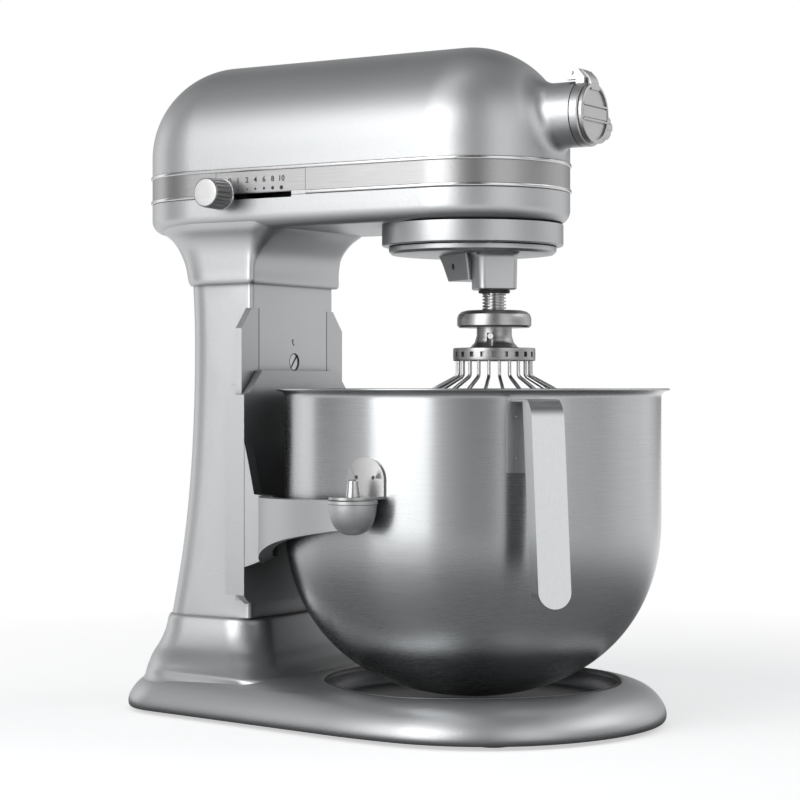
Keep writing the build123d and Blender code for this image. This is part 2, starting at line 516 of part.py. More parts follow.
def lower_casing():
    """Lower head shell with the neck, the drum seat, the ledge for the top shell and the speed slot."""
    pan = slab(capsule_plan(HEAD_R), LOWER_Z0, BAND_Z0)
    pan = fillet(pan.edges().group_by(Axis.Z)[0], 9)
    collar = slab(capsule_plan(HEAD_R - 3.0), BAND_Z0 - 1, BAND_Z1)
    body = pan + collar + (neck() & slab(capsule_plan(HEAD_R), 270, BAND_Z0))
    hollow = slab(capsule_plan(HEAD_R - 3.0 - WALL), LOWER_Z0 + 9, BAND_Z1 + 1)
    hollow = hollow + slab(capsule_plan(HEAD_R - 14), LOWER_Z0 + 4.5, LOWER_Z0 + 10)
    throat = loft([Pos(0, 0, 279) * rounded(-44, 44, 139, 186, 16), Pos(0, 0, 316) * rounded(-46, 46, 134, 198, 20)])
    body = body - hollow - throat
    body = body + rod(30, LOWER_Z0, LOWER_Z0 + 11) - rod(25, LOWER_Z0 - 5, LOWER_Z0 + 20)
    for x, y in NECK_BOLTS:
        body = body + rod(7.5, COL_Z1, COL_Z1 + 8, x, y) - rod(3.2, COL_Z1 - 1, COL_Z1 + 12, x, y)
        body = body - rod(7.0, COL_Z1 + 8, COL_Z1 + 60, x, y)
    for x, y in CASE_SCREWS:
        body = body + (rod(6, LOWER_Z0 + 1, BAND_Z1, x, y) & slab(capsule_plan(HEAD_R - 3), 300, BAND_Z1))
        body = body - rod(1.9, LOWER_Z0 - 1, BAND_Z1 + 1, x, y) - rod(4.1, LOWER_Z0 - 1, LOWER_Z0 + 3.0, x, y)
    for a in range(4):
        x, y = 42 * cos(radians(90 * a)), 42 * sin(radians(90 * a))
        body = body - rod(2.1, LOWER_Z0 - 1, LOWER_Z0 + 20, x, y)
    body = body - block(-80, -45, KNOB_Y - KNOB_TRAVEL - 3.2, KNOB_Y + 3.2, KNOB_SLOT_Z0, KNOB_SLOT_Z1)
    body = body - bar(7.0, (0, 215, 320.5), (0, 250, 320.5))
    return body.solids().sort_by(SortBy.VOLUME)[-1]


KNOB_SLOT_Z0, KNOB_SLOT_Z1 = 328.0, 331.8


def trim_band():
    """Bright belt between the casings: flat centre between two beads, lower bead broken at the slot."""
    flat = slab(capsule_plan(HEAD_R) - capsule_plan(HEAD_R - 2.95), BAND_Z0 + 0.05, BAND_Z1 - 0.05)
    upper = slab(capsule_plan(HEAD_R + 0.9) - capsule_plan(HEAD_R - 1), BAND_Z1 - 2.4, BAND_Z1 - 0.05)
    lower = slab(capsule_plan(HEAD_R + 0.9) - capsule_plan(HEAD_R - 1), BAND_Z0 + 0.05, BAND_Z0 + 2.4)
    lower = lower - block(-70, -50, SPEED_Y0, SPEED_Y1, BAND_Z0 - 1, BAND_Z0 + 3)
    body = flat + upper + lower
    body = body - block(-HEAD_R - 2, -HEAD_R + 0.8, SPEED_Y0, SPEED_Y1, BAND_Z0 + 2.4, BAND_Z1 - 2.4)
    return body - block(-80, -45, KNOB_Y - KNOB_TRAVEL - 3.2, KNOB_Y + 3.2, BAND_Z0 - 1, KNOB_SLOT_Z1)


SPEED_Y0, SPEED_Y1 = 85.0, 154.0


def speed_plate():
    """Thin plate in the band above the slot; carries the speed scale."""
    return block(-HEAD_R - 0.05, -HEAD_R + 0.75, SPEED_Y0 + 0.2, SPEED_Y1 - 0.2, BAND_Z0 + 2.5, BAND_Z1 - 2.5)


def speed_knob():
    """Turned knob with a fluted rim, standing off the band and sliding along the slot."""
    x0 = KNOB_X
    body = bar(9.8, (x0, KNOB_Y, KNOB_Z), (x0 - 16.4, KNOB_Y, KNOB_Z))
    taper = Pos(x0 - 8.5, KNOB_Y, KNOB_Z) * (Rot(0, -90, 0) * Cone(9.85, 9.15, 17))
    body = body & taper
    face = body.edges().sort_by(Axis.X)[0]
    body = fillet(face, 1.0)
    for i in range(20):
        a = radians(18 * i)
        body = body - bar(0.55, (x0 - 2, KNOB_Y + 9.85 * cos(a), KNOB_Z + 9.85 * sin(a)),
                          (x0 - 14, KNOB_Y + 9.5 * cos(a), KNOB_Z + 9.5 * sin(a)))
    return body


def knob_ring():
    """Bright washer ring behind the knob."""
    x0 = KNOB_X
    ring_ = bar(10.1, (x0 + 1.2, KNOB_Y, KNOB_Z), (x0, KNOB_Y, KNOB_Z))
    return fillet(ring_.edges().sort_by(Axis.X)[0], 0.4) - bar(2.0, (x0 + 3, KNOB_Y, KNOB_Z), (x0 - 1, KNOB_Y, KNOB_Z))


def speed_lever():
    """Flat lever end that carries the knob through the slot, with its slider inside."""
    x0 = KNOB_X
    stem = block(x0 + 1.2, -50, KNOB_Y - 1.9, KNOB_Y + 1.9, KNOB_SLOT_Z0 + 0.7, KNOB_SLOT_Z1 - 0.7)
    return stem + block(-52.5, -49, KNOB_Y - 8, KNOB_Y + 8, KNOB_SLOT_Z0 - 5, KNOB_SLOT_Z1 + 5) \
        + bar(1.95, (x0, KNOB_Y, KNOB_Z), (x0 + 1.2, KNOB_Y, KNOB_Z))


def neck_bolts():
    """Four bolts clamping the neck to the column."""
    out = []
    for x, y in NECK_BOLTS:
        out.append(rod(5.0, COL_Z1 + 8, COL_Z1 + 13, x, y) + rod(2.95, COL_Z1 - 13, COL_Z1 + 8, x, y))
    return out


def case_screws():
    """Four long screws from below, holding the two casings together."""
    return [rod(3.6, LOWER_Z0 + 0.6, LOWER_Z0 + 3.0, x, y) + rod(1.75, LOWER_Z0 + 3, BAND_Z1 + 14, x, y)
            for x, y in CASE_SCREWS]


def cord_gland():
    """Moulded bush in the rear opening."""
    body = bar(8.6, (0, 236.2, 320.5), (0, 238.2, 320.5)) + bar(6.9, (0, 224, 320.5), (0, 236.2, 320.5))
    return body - bar(3.6, (0, 220, 320.5), (0, 240, 320.5))


# ---- attachment hub -----------------------------------------------------------------------
def hub_flange():
    """Ring at the mouth of the hub, with the two hinge ears."""
    body = bar(HUB_R, (0, HUB_FACE_Y + 6, HUB_Z), (0, HUB_FACE_Y, HUB_Z))
    body = chamfer(body.edges(), 0.7)
    body = body - bar(SOCKET_R, (0, HUB_FACE_Y + 7, HUB_Z), (0, HUB_FACE_Y - 1, HUB_Z))
    for lo in (-9.3, 5.7):
        ear = side_plate([(HUB_FACE_Y + 0.4, HUB_Z + 16.9), (HUB_FACE_Y + 5.9, HUB_Z + 16.9), (-77.1, 395.3),
                          (-70.6, 395.3), (-70.6, HINGE_Z), (HINGE_Y, HINGE_Z + 3.4), (-78.5, HINGE_Z + 2.2),
                          (HUB_FACE_Y + 0.4, 396.5)], lo, lo + 3.6)
        body = body + ear
    return body - bar(1.3, (-11, HINGE_Y, HINGE_Z), (11, HINGE_Y, HINGE_Z))


def hinge_pin():
    """Pin through the ears and the cover's lug."""
    return bar(1.3, (-10.4, HINGE_Y, HINGE_Z), (10.4, HINGE_Y, HINGE_Z))


def hub_cover():
    """Round cover with a raised grip bar across it and the lug that curls over to the hinge."""
    y1 = HUB_FACE_Y - 0.25
    disc = bar(18.3, (0, y1, HUB_Z), (0, y1 - 2.6, HUB_Z))
    disc = fillet(disc.edges().sort_by(Axis.Y)[0], 0.9)
    disc = disc - bar(16.2, (0, y1 - 1.5, HUB_Z), (0, y1 - 3, HUB_Z))
    face = y1 - 1.5
    grip = block(-15.5, 15.5, face - 0.9, face + 0.5, HUB_Z - 3.2, HUB_Z + 3.2)
    for dz in (-4.5, 4.5):
        grip = grip + block(-15.8, 15.8, face - 1.6, face + 0.5, HUB_Z + dz - 0.6, HUB_Z + dz + 0.6)
    front = y1 - 2.6
    lug = make_face(Plane.YZ * (Polyline((HINGE_Y, 396.7), (-81.6, 396.7), (y1, 395), (y1, 389), (front, 389),
                                         (front, 391))
                                + Spline((front, 391), (-84.4, 396.2), (-79.6, 401.1), (HINGE_Y, HINGE_Z + 3.4),
                                         tangents=((0.15, 1), (1, 0.1)))
                                + Line((HINGE_Y, HINGE_Z + 3.4), (HINGE_Y, 396.7))))
    lug = Pos(-5.4, 0, 0) * extrude(lug, 10.8, dir=(1, 0, 0))
    lug = lug + bar(3.4, (-5.4, HINGE_Y, HINGE_Z), (5.4, HINGE_Y, HINGE_Z))
    lug = lug - block(-20, 20, y1 + 0.01, -60, 380, 396.0)
    return disc + grip + lug - bar(1.36, (-7, HINGE_Y, HINGE_Z), (7, HINGE_Y, HINGE_Z))


def thumbscrew():
    """Clamping knob of the hub with a scalloped rim."""
    body = bar(9.6, (23.0, THUMB_Y, THUMB_Z), (36.0, THUMB_Y, THUMB_Z))
    body = fillet(body.edges().filter_by(GeomType.CIRCLE), 1.2)
    for i in range(9):
        a = radians(40 * i)
        y, z = THUMB_Y + 10.9 * cos(a), THUMB_Z + 10.9 * sin(a)
        body = body - bar(2.2, (22, y, z), (37, y, z))
    return body + bar(THUMB_R, (17.2, THUMB_Y, THUMB_Z), (23.5, THUMB_Y, THUMB_Z)) \
        + bar(5.4, (21.8, THUMB_Y, THUMB_Z), (23.5, THUMB_Y, THUMB_Z))


def hub_drive():
    """Bevel wheel and sleeve with the square socket that turns attachments."""
    body = bar(11, (0, -37.4, HUB_Z), (0, -26, HUB_Z))
    wheel = lathe([(0, 0), (24.6, 0), (24.6, 0.6), (19.0, 6.0), (0, 6.0)])
    body = body + Pos(0, -26, HUB_Z) * (Rot(-90, 0, 0) * wheel)
    return body - Pos(0, -38, HUB_Z) * Box(13.2, 22, 13.2)


# ---- drive train --------------------------------------------------------------------------
MOTOR_Z = 368.0
GEAR_X, GEAR_Y = 27.0, 36.0                         # shaft of the worm wheel


def motor_stator():
    """Laminated stator ring with two field coils bulging from each end."""
    body = bar(36, (0, 86, MOTOR_Z), (0, 134, MOTOR_Z)) - bar(22.4, (0, 80, MOTOR_Z), (0, 140, MOTOR_Z))
    for s in (-1, 1):
        coil = bar(33, (0, 81.5, MOTOR_Z), (0, 139, MOTOR_Z)) - bar(24, (0, 80, MOTOR_Z), (0, 140, MOTOR_Z))
        lo, hi = sorted((s * 14, s * 40))
        body = body + (coil & block(-21, 21, 80, 140, MOTOR_Z + lo, MOTOR_Z + hi))
    return body


def motor_rotor():
    """Armature, commutator and through shaft."""
    body = bar(21.7, (0, 84, MOTOR_Z), (0, 136, MOTOR_Z)) + bar(12, (0, 140, MOTOR_Z), (0, 151, MOTOR_Z))
    for i in range(12):
        a = radians(30 * i + 15)
        y, z = 21.7 * cos(a), MOTOR_Z + 21.7 * sin(a)
        body = body - bar(0.9, (y, 80, z), (y, 137, z))
    return body + bar(5, (0, 19, MOTOR_Z), (0, 162, MOTOR_Z))


def worm():
    """Worm on the front of the motor shaft, cut as a row of grooves."""
    body = bar(7.6, (0, 22, MOTOR_Z), (0, 50, MOTOR_Z))
    for i in range(7):
        y = 25 + 3.6 * i
        body = body - (bar(9, (0, y, MOTOR_Z), (0, y + 1.7, MOTOR_Z)) - bar(6.1, (0, y, MOTOR_Z), (0, y + 1.7, MOTOR_Z)))
    return body - bar(5, (0, 20, MOTOR_Z), (0, 52, MOTOR_Z))


def motor_fan():
    """Cooling fan with eight blades on the shaft in front of the motor."""
    body = bar(9, (0, 64, MOTOR_Z), (0, 75, MOTOR_Z)) + bar(31, (0, 72.5, MOTOR_Z), (0, 74, MOTOR_Z))
    for i in range(8):
        blade = Pos(0, 68.5, MOTOR_Z) * (Rot(0, 45 * i, 0) * Pos(19.5, 0, 0) * Box(22, 8.4, 1.4))
        body = body + blade
    return body - bar(5, (0, 60, MOTOR_Z), (0, 80, MOTOR_Z))


def motor_frame():
    """Cradle on the casing floor and two end plates tied together round the stator."""
    body = block(-30, 30, 88, 132, LOWER_Z0 + 4.5, 345) - bar(36.0, (0, 80, MOTOR_Z), (0, 140, MOTOR_Z))
    for y in (77.5, 153.5):
        plate = bar(42, (0, y, MOTOR_Z), (0, y + 3, MOTOR_Z)) + bar(11, (0, y - 1, MOTOR_Z), (0, y + 4, MOTOR_Z))
        body = body + plate - bar(5.06, (0, y - 2, MOTOR_Z), (0, y + 5, MOTOR_Z))
    for a in (45, 135, 225, 315):
        x, z = 39 * cos(radians(a)), MOTOR_Z + 39 * sin(radians(a))
        body = body + bar(2.6, (x, 78, z), (x, 155, z))
    return body


def brush_holders():
    """Two brass boxes feeding the commutator."""
    return [block(min(s * 12.4, s * 27), max(s * 12.4, s * 27), 141, 152.5, MOTOR_Z - 4.5, MOTOR_Z + 4.5)
            + block(min(s * 16, s * 24), max(s * 16, s * 24), 152, 153.5, MOTOR_Z - 6, MOTOR_Z + 6) for s in (-1, 1)]


def control_board():
    """Speed control board on two spacers behind the motor."""
    body = block(-27, 27, 172, 173.6, 336, 392) + block(-18, 2, 173.6, 184, 344, 366) \
        + block(8, 20, 173.6, 180, 350, 384)
    for x, z in ((-18, 342), (18, 342), (-18, 386), (18, 386)):
        body = body + bar(2.4, (x, 156.5, z), (x, 172, z))
    return body


def worm_wheel():
    """Worm wheel and its pinion on one upright shaft."""
    body = lathe([(0, 318), (6, 318), (6, 334.5), (9.9, 334.5), (9.9, 341.5), (6, 341.5), (6, 363.5), (17.4, 363.5),
                  (19.0, 364.6), (18.6, 368), (19.0, 371.4), (17.4, 372.5), (6, 372.5), (6, 380), (0, 380)])
    return Pos(GEAR_X, GEAR_Y, 0) * body


def gear_bridge():
    """Bridge plate across the casing that steadies the upright shafts."""
    plate = slab(capsule_plan(HEAD_R - 3.0 - WALL), 344, 347.6) & block(-80, 80, -24, 54, 340, 350)
    plate = plate - rod(8.06, 340, 350) - rod(6.06, 340, 350, GEAR_X, GEAR_Y)
    for x, y in CASE_SCREWS:
        plate = plate - rod(6.1, 340, 350, x, y)
    foot = rod(10, LOWER_Z0 + 4.5, 320, GEAR_X, GEAR_Y) - rod(6.06, 317.8, 321, GEAR_X, GEAR_Y)
    return plate, foot


def cross_bar(r, reach):
    """Bar through the centre shaft, square to the line from it to the beater shaft."""
    c, s_ = reach * cos(radians(ORBIT_AZ + 90)), reach * sin(radians(ORBIT_AZ + 90))
    return bar(r, (-c, -s_, PIN_Z), (c, s_, PIN_Z))


def centre_shaft():
    """Upright shaft that carries the planetary, with the large gear and the bevel wheel."""
    body = lathe([(0, 277), (8, 277), (8, 334.6), (34.6, 334.6), (34.6, 341.4), (12, 341.4), (12, 343.6),
                  (8, 343.6), (8, 348.2), (18, 348.2), (24.6, 349.0), (24.6, 349.6), (19.0, 355), (0, 355)])
    return body - cross_bar(2.0, 12)


PIN_Z = 284.0


def centre_bearing():
    """Bearing pressed in the casing floor round the centre shaft."""
    return ring(25, 8.06, LOWER_Z0 + 0.5, LOWER_Z0 + 10.5)


# ---- planetary ----------------------------------------------------------------------------
def toothed(pitch_r, tip, root, count, first, tip_w, root_w):
    """Closed outline of trapezoid teeth; tip and root are the radii of their ends."""
    points = []
    step = 2 * pi / count
    for i in range(count):
        a = radians(first) + i * step
        for r, half in ((root, -root_w / 2), (tip, -tip_w / 2), (tip, tip_w / 2), (root, root_w / 2)):
            points.append((r * cos(a + half / r), r * sin(a + half / r)))
    return make_face(Polyline(*points, close=True))


def ring_gear():
    """Fixed internal ring gear inside the drum."""
    pitch = MODULE * RING_T / 2
    gap_first = ORBIT_AZ + 180 / RING_T
    teeth = toothed(pitch, pitch - 1.35, pitch + 1.75, RING_T, gap_first, 0.9, 2.4)
    return rod(50.0, 297.4, 304.8) - slab(teeth, 296, 306)


def planet_pinion():
    """Pinion that rolls round the ring gear, pressed on the beater shaft."""
    pitch = MODULE * PINION_T / 2
    teeth = toothed(pitch, pitch + 1.3, pitch - 1.9, PINION_T, ORBIT_AZ, 0.9, 2.4)
    return Pos(BEATER_X, BEATER_Y, 0) * slab(teeth, 297.6, 304.4) - rod(SHAFT_R, 290, 310, BEATER_X, BEATER_Y)


def drum():
    """Drum under the nose that holds the ring gear."""
    body = lathe([(25, 305.0), (50.0, 305.0), (50.0, 296.6), (56.0, 296.6), (56.8, 297.6), (56.8, LOWER_Z0),
                  (25, LOWER_Z0)])
    for a in range(4):
        x, y = 42 * cos(radians(90 * a)), 42 * sin(radians(90 * a))
        body = body - rod(2.1, 300, 320, x, y)
    return body


def drum_screws():
    """Four screws that hang the drum from the casing floor."""
    out = []
    for a in range(4):
        x, y = 42 * cos(radians(90 * a)), 42 * sin(radians(90 * a))
        out.append(rod(4.0, LOWER_Z0 + 4.5, LOWER_Z0 + 7.5, x, y) + rod(2.05, 305.6, LOWER_Z0 + 4.5, x, y))
    return out


def planetary_housing():
    """Turning disc with the shaft boss, the beater boss and the web between them."""
    disc = lathe([(0, 291.6), (44, 291.0), (50.5, 291.6), (52.3, 293.2), (52.5, 295.0), (52.5, 295.9), (0, 295.9)])
    lug = loft([Pos(4.5, 0, 275.2) * RectangleRounded(31, 24, 1.2), Pos(2.5, 0, 286) * RectangleRounded(37, 27.4, 1.2),
                Pos(1.5, 0, 292.5) * RectangleRounded(41, 31, 1.2)], ruled=True)
    lug = Rot(0, 0, ORBIT_AZ) * lug
    rows = [(268.5, 22.8, 3.4), (269.2, 24.0, 4.0), (287.8, 24.8, 4.4), (289.9, 26.4, 5.2), (291.2, 29.4, 6.7),
            (292.5, 34.0, 9.0)]
    boss = loft([Pos(0, 0, z) * RectangleRounded(w, w, r) for z, w, r in rows], ruled=True)
    boss = Pos(BEATER_X, BEATER_Y, 0) * (Rot(0, 0, 43.5) * boss)
    body = disc + lug + boss
    body = body - rod(8.0, 277, 300) - rod(SHAFT_R + 0.05, 260, 300, BEATER_X, BEATER_Y)
    return body - cross_bar(2.0, 30)


def retaining_pin():
    """Cross pin that locks the planetary to the centre shaft."""
    return cross_bar(1.99, 12.6)


PIN_AZ = 196.0


def beater_shaft():
    """Shaft that carries the whisk, cross drilled for its drive pin."""
    body = rod(SHAFT_R, 232.7, 304.4, BEATER_X, BEATER_Y)
    return body - drive_pin(1.8)


def drive_pin(r=1.79):
    """Cross pin near the foot of the beater shaft."""
    c, s_ = 10.2 * cos(radians(PIN_AZ)), 10.2 * sin(radians(PIN_AZ))
    return bar(r, (BEATER_X - c, BEATER_Y - s_, 240), (BEATER_X + c, BEATER_Y + s_, 240))


def shaft_washer():
    """Rubber washer under the beater boss."""
    return ring(9.7, SHAFT_R, 266.4, 268.2, BEATER_X, BEATER_Y)


def shaft_spring():
    """Coil spring between the washer and the whisk, drawn as its outer sleeve."""
    return ring(7.4, SHAFT_R + 0.35, 256.2, 266.3, BEATER_X, BEATER_Y)


# ---- whisk --------------------------------------------------------------------------------
WIRES, WIRE_R = 22, 0.95


def whisk_hub():
    """Collar, neck and flange of the whisk, bored for the shaft and slotted for the drive pin."""
    body = lathe([(0, 225.5), (17.5, 225.5), (17.5, 232.6), (14.6, 233.3), (12.0, 236.2), (10.75, 240.5),
                  (10.75, 245.3), (21.6, 245.3), (22.75, 246.5), (22.75, 251.0), (22.0, 253.3), (20.0, 255.0),
                  (17.0, 255.8), (0, 255.8)])
    body = Pos(BEATER_X, BEATER_Y, 0) * body - rod(SHAFT_R + 0.06, 228, 260, BEATER_X, BEATER_Y)
    slot = block(-14, 14, -2.1, 2.1, 233.9, 242.0)
    return body - Pos(BEATER_X, BEATER_Y, 0) * (Rot(0, 0, PIN_AZ) * slot)


def crown_ring():
    """Ring that clamps the upper ends of the wires, with a row of small windows."""
    body = ring(25.25, 17.5, 224.8, 232.8)
    for i in range(WIRES):
        body = body - Rot(0, 0, 360 / WIRES * (i - 0.225)) * block(23.5, 30, -1.2, 1.2, 227.2, 230.4)
    return Pos(BEATER_X, BEATER_Y, 0) * body


def whisk_wires():
    """Half loops of wire: straight out of the crown, swelling out, round and in to the middle."""
    path = Plane.XZ * FilletPolyline((21.4, 224.8), (21.4, 217.0), (40.0, 205.0), (54.5, 163.0), (50.5, 73.4),
                                     (7.4, 73.4), radius=[4, 18, 60, 41])
    wire = sweep(Plane(origin=(21.4, 0, 224.8), z_dir=(0, 0, -1)) * Circle(WIRE_R), path=path)
    return [Pos(BEATER_X, BEATER_Y, 0) * Rot(0, 0, 360 / WIRES * (i + 0.275)) * wire for i in range(WIRES)]


# ---- write every node ---------------------------------------------------------------------
bridge, wheel_foot = gear_bridge()
NODES = {
    "base_casting": [base_casting()],
    "rubber_feet": rubber_feet(),
    "column_bolts": column_bolts(),
    "column": [column()],
    "slide_rail_left": [slide_rail(-1)],
    "slide_rail_right": [slide_rail(1)],
    "rail_screws": rail_screws(),
    "adjusting_screw": [adjusting_screw()],
    "lift_shaft": [lift_shaft()],
    "lift_crank": [lift_crank()],
    "lift_lever": [lift_lever()],
    "lift_grip": [lift_grip()],
    "lever_cap": [lever_cap()],
    "carriage": [carriage()],
    "locating_pins": [locating_pin(-1), locating_pin(1)],
    "latch_clip": [latch_clip()],
    "clip_screws": clip_screws(),
    "bowl_shell": [bowl_shell()],
    "bowl_brackets": [side_bracket(-1), side_bracket(1)],
    "bowl_handle": [bowl_handle()],
    "handle_weld_plate": [handle_weld_plate()],
    "rear_stud": [rear_stud()],
    "lower_casing": [lower_casing()],
    "upper_casing": [upper_casing()],
    "neck_bolts": neck_bolts(),
    "case_screws": case_screws(),
    "cord_gland": [cord_gland()],
    "trim_band": [trim_band()],
    "speed_plate": [speed_plate()],
    "speed_lever": [speed_lever()],
    "speed_knob": [speed_knob()],
    "knob_ring": [knob_ring()],
    "hub_flange": [hub_flange()],
    "hinge_pin": [hinge_pin()],
    "hub_cover": [hub_cover()],
    "hub_thumbscrew": [thumbscrew()],
    "hub_drive": [hub_drive()],
    "motor_stator": [motor_stator()],
    "motor_rotor": [motor_rotor()],
    "motor_worm": [worm()],
    "motor_fan": [motor_fan()],
    "motor_frame": [motor_frame()],
    "brush_holders": brush_holders(),
    "control_board": [control_board()],
    "worm_wheel": [worm_wheel()],
    "gear_bridge": [bridge, wheel_foot],
    "centre_shaft": [centre_shaft()],
    "centre_bearing": [centre_bearing()],
    "drum": [drum()],
    "drum_screws": drum_screws(),
    "ring_gear": [ring_gear()],
    "planetary_housing": [planetary_housing()],
    "retaining_pin": [retaining_pin()],
    "beater_shaft": [beater_shaft()],
    "beater_drive_pin": [drive_pin()],
    "planet_pinion": [planet_pinion()],
    "shaft_washer": [shaft_washer()],
    "shaft_spring": [shaft_spring()],
    "whisk_hub": [whisk_hub()],
    "whisk_wires": [crown_ring()] + whisk_wires(),
}
for name, solids in NODES.items():
    save(name, *solids)
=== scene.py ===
"""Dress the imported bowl-lift stand mixer: cast housings, spun bowl, wire whisk and bright trim."""
import json
import logging
import math
from dataclasses import dataclass
from enum import Enum
from functools import cached_property
from typing import Sequence

import bmesh
import bpy
import numpy as np
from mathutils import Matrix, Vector

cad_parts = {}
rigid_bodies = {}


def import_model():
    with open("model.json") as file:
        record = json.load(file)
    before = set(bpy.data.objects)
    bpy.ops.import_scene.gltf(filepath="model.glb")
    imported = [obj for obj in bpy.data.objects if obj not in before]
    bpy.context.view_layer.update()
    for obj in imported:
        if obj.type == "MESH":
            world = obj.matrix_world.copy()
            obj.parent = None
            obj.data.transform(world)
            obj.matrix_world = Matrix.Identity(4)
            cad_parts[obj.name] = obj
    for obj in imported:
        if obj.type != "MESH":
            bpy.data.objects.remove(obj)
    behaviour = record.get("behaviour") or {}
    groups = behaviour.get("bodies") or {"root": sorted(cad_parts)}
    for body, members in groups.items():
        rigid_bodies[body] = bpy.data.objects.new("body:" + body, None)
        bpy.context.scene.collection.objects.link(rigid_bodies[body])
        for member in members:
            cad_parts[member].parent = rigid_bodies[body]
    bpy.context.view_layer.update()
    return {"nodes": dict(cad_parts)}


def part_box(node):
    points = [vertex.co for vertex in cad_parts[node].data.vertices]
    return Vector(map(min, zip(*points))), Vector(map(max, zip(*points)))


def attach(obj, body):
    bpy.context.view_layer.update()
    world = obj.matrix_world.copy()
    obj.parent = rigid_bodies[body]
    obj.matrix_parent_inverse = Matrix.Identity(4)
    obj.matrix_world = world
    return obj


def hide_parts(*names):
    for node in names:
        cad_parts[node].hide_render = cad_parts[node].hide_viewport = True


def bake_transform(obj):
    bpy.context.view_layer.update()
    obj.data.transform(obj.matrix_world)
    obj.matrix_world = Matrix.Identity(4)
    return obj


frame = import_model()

LOG = logging.getLogger("mixer")
# one millimetre, and the distance under which a copied node's points become one, in metres
MM = 0.001
NODE_WELD = 4e-6
# where the rows that close the stand's outlines meet, and the whisk's own axis at rest
STAND_Y = 165
BEATER_AXIS = (-17.79, -25.38)
# brush lines run across the anisotropic shader's own direction
QUARTER_TURN = 0.25
Array = np.ndarray
Colour = tuple[float, float, float]
Pair = tuple[float, float]


# ---- shader nodes ------------------------------------------------------------------------
class Wire:
    """A node socket that can be used in an arithmetic expression."""

    def __init__(self, bench: "Bench", socket: bpy.types.NodeSocket) -> None:
        """Hold one output socket of a node on a bench."""
        self.bench = bench
        self.socket = socket

    def _math(self, operation: str, *terms: "Wire | float") -> "Wire":
        """Add one Math node over the terms."""
        return self.bench.node("ShaderNodeMath", {"operation": operation}, dict(enumerate(terms)))

    def __add__(self, other: "Wire | float") -> "Wire":
        """Sum."""
        return self._math("ADD", self, other)

    def __radd__(self, other: float) -> "Wire":
        """Sum with a number on the left."""
        return self._math("ADD", other, self)

    def __sub__(self, other: "Wire | float") -> "Wire":
        """Difference."""
        return self._math("SUBTRACT", self, other)

    def __rsub__(self, other: float) -> "Wire":
        """Difference with a number on the left."""
        return self._math("SUBTRACT", other, self)

    def __mul__(self, other: "Wire | float") -> "Wire":
        """Product."""
        return self._math("MULTIPLY", self, other)

    def __rmul__(self, other: float) -> "Wire":
        """Product with a number on the left."""
        return self._math("MULTIPLY", other, self)

    def __truediv__(self, other: "Wire | float") -> "Wire":
        """Quotient."""
        return self._math("DIVIDE", self, other)

    def __pow__(self, other: float) -> "Wire":
        """Power."""
        return self._math("POWER", self, other)

    def clamp(self) -> "Wire":
        """Value held between zero and one."""
        return self.bench.node("ShaderNodeClamp", {}, {"Value": self})


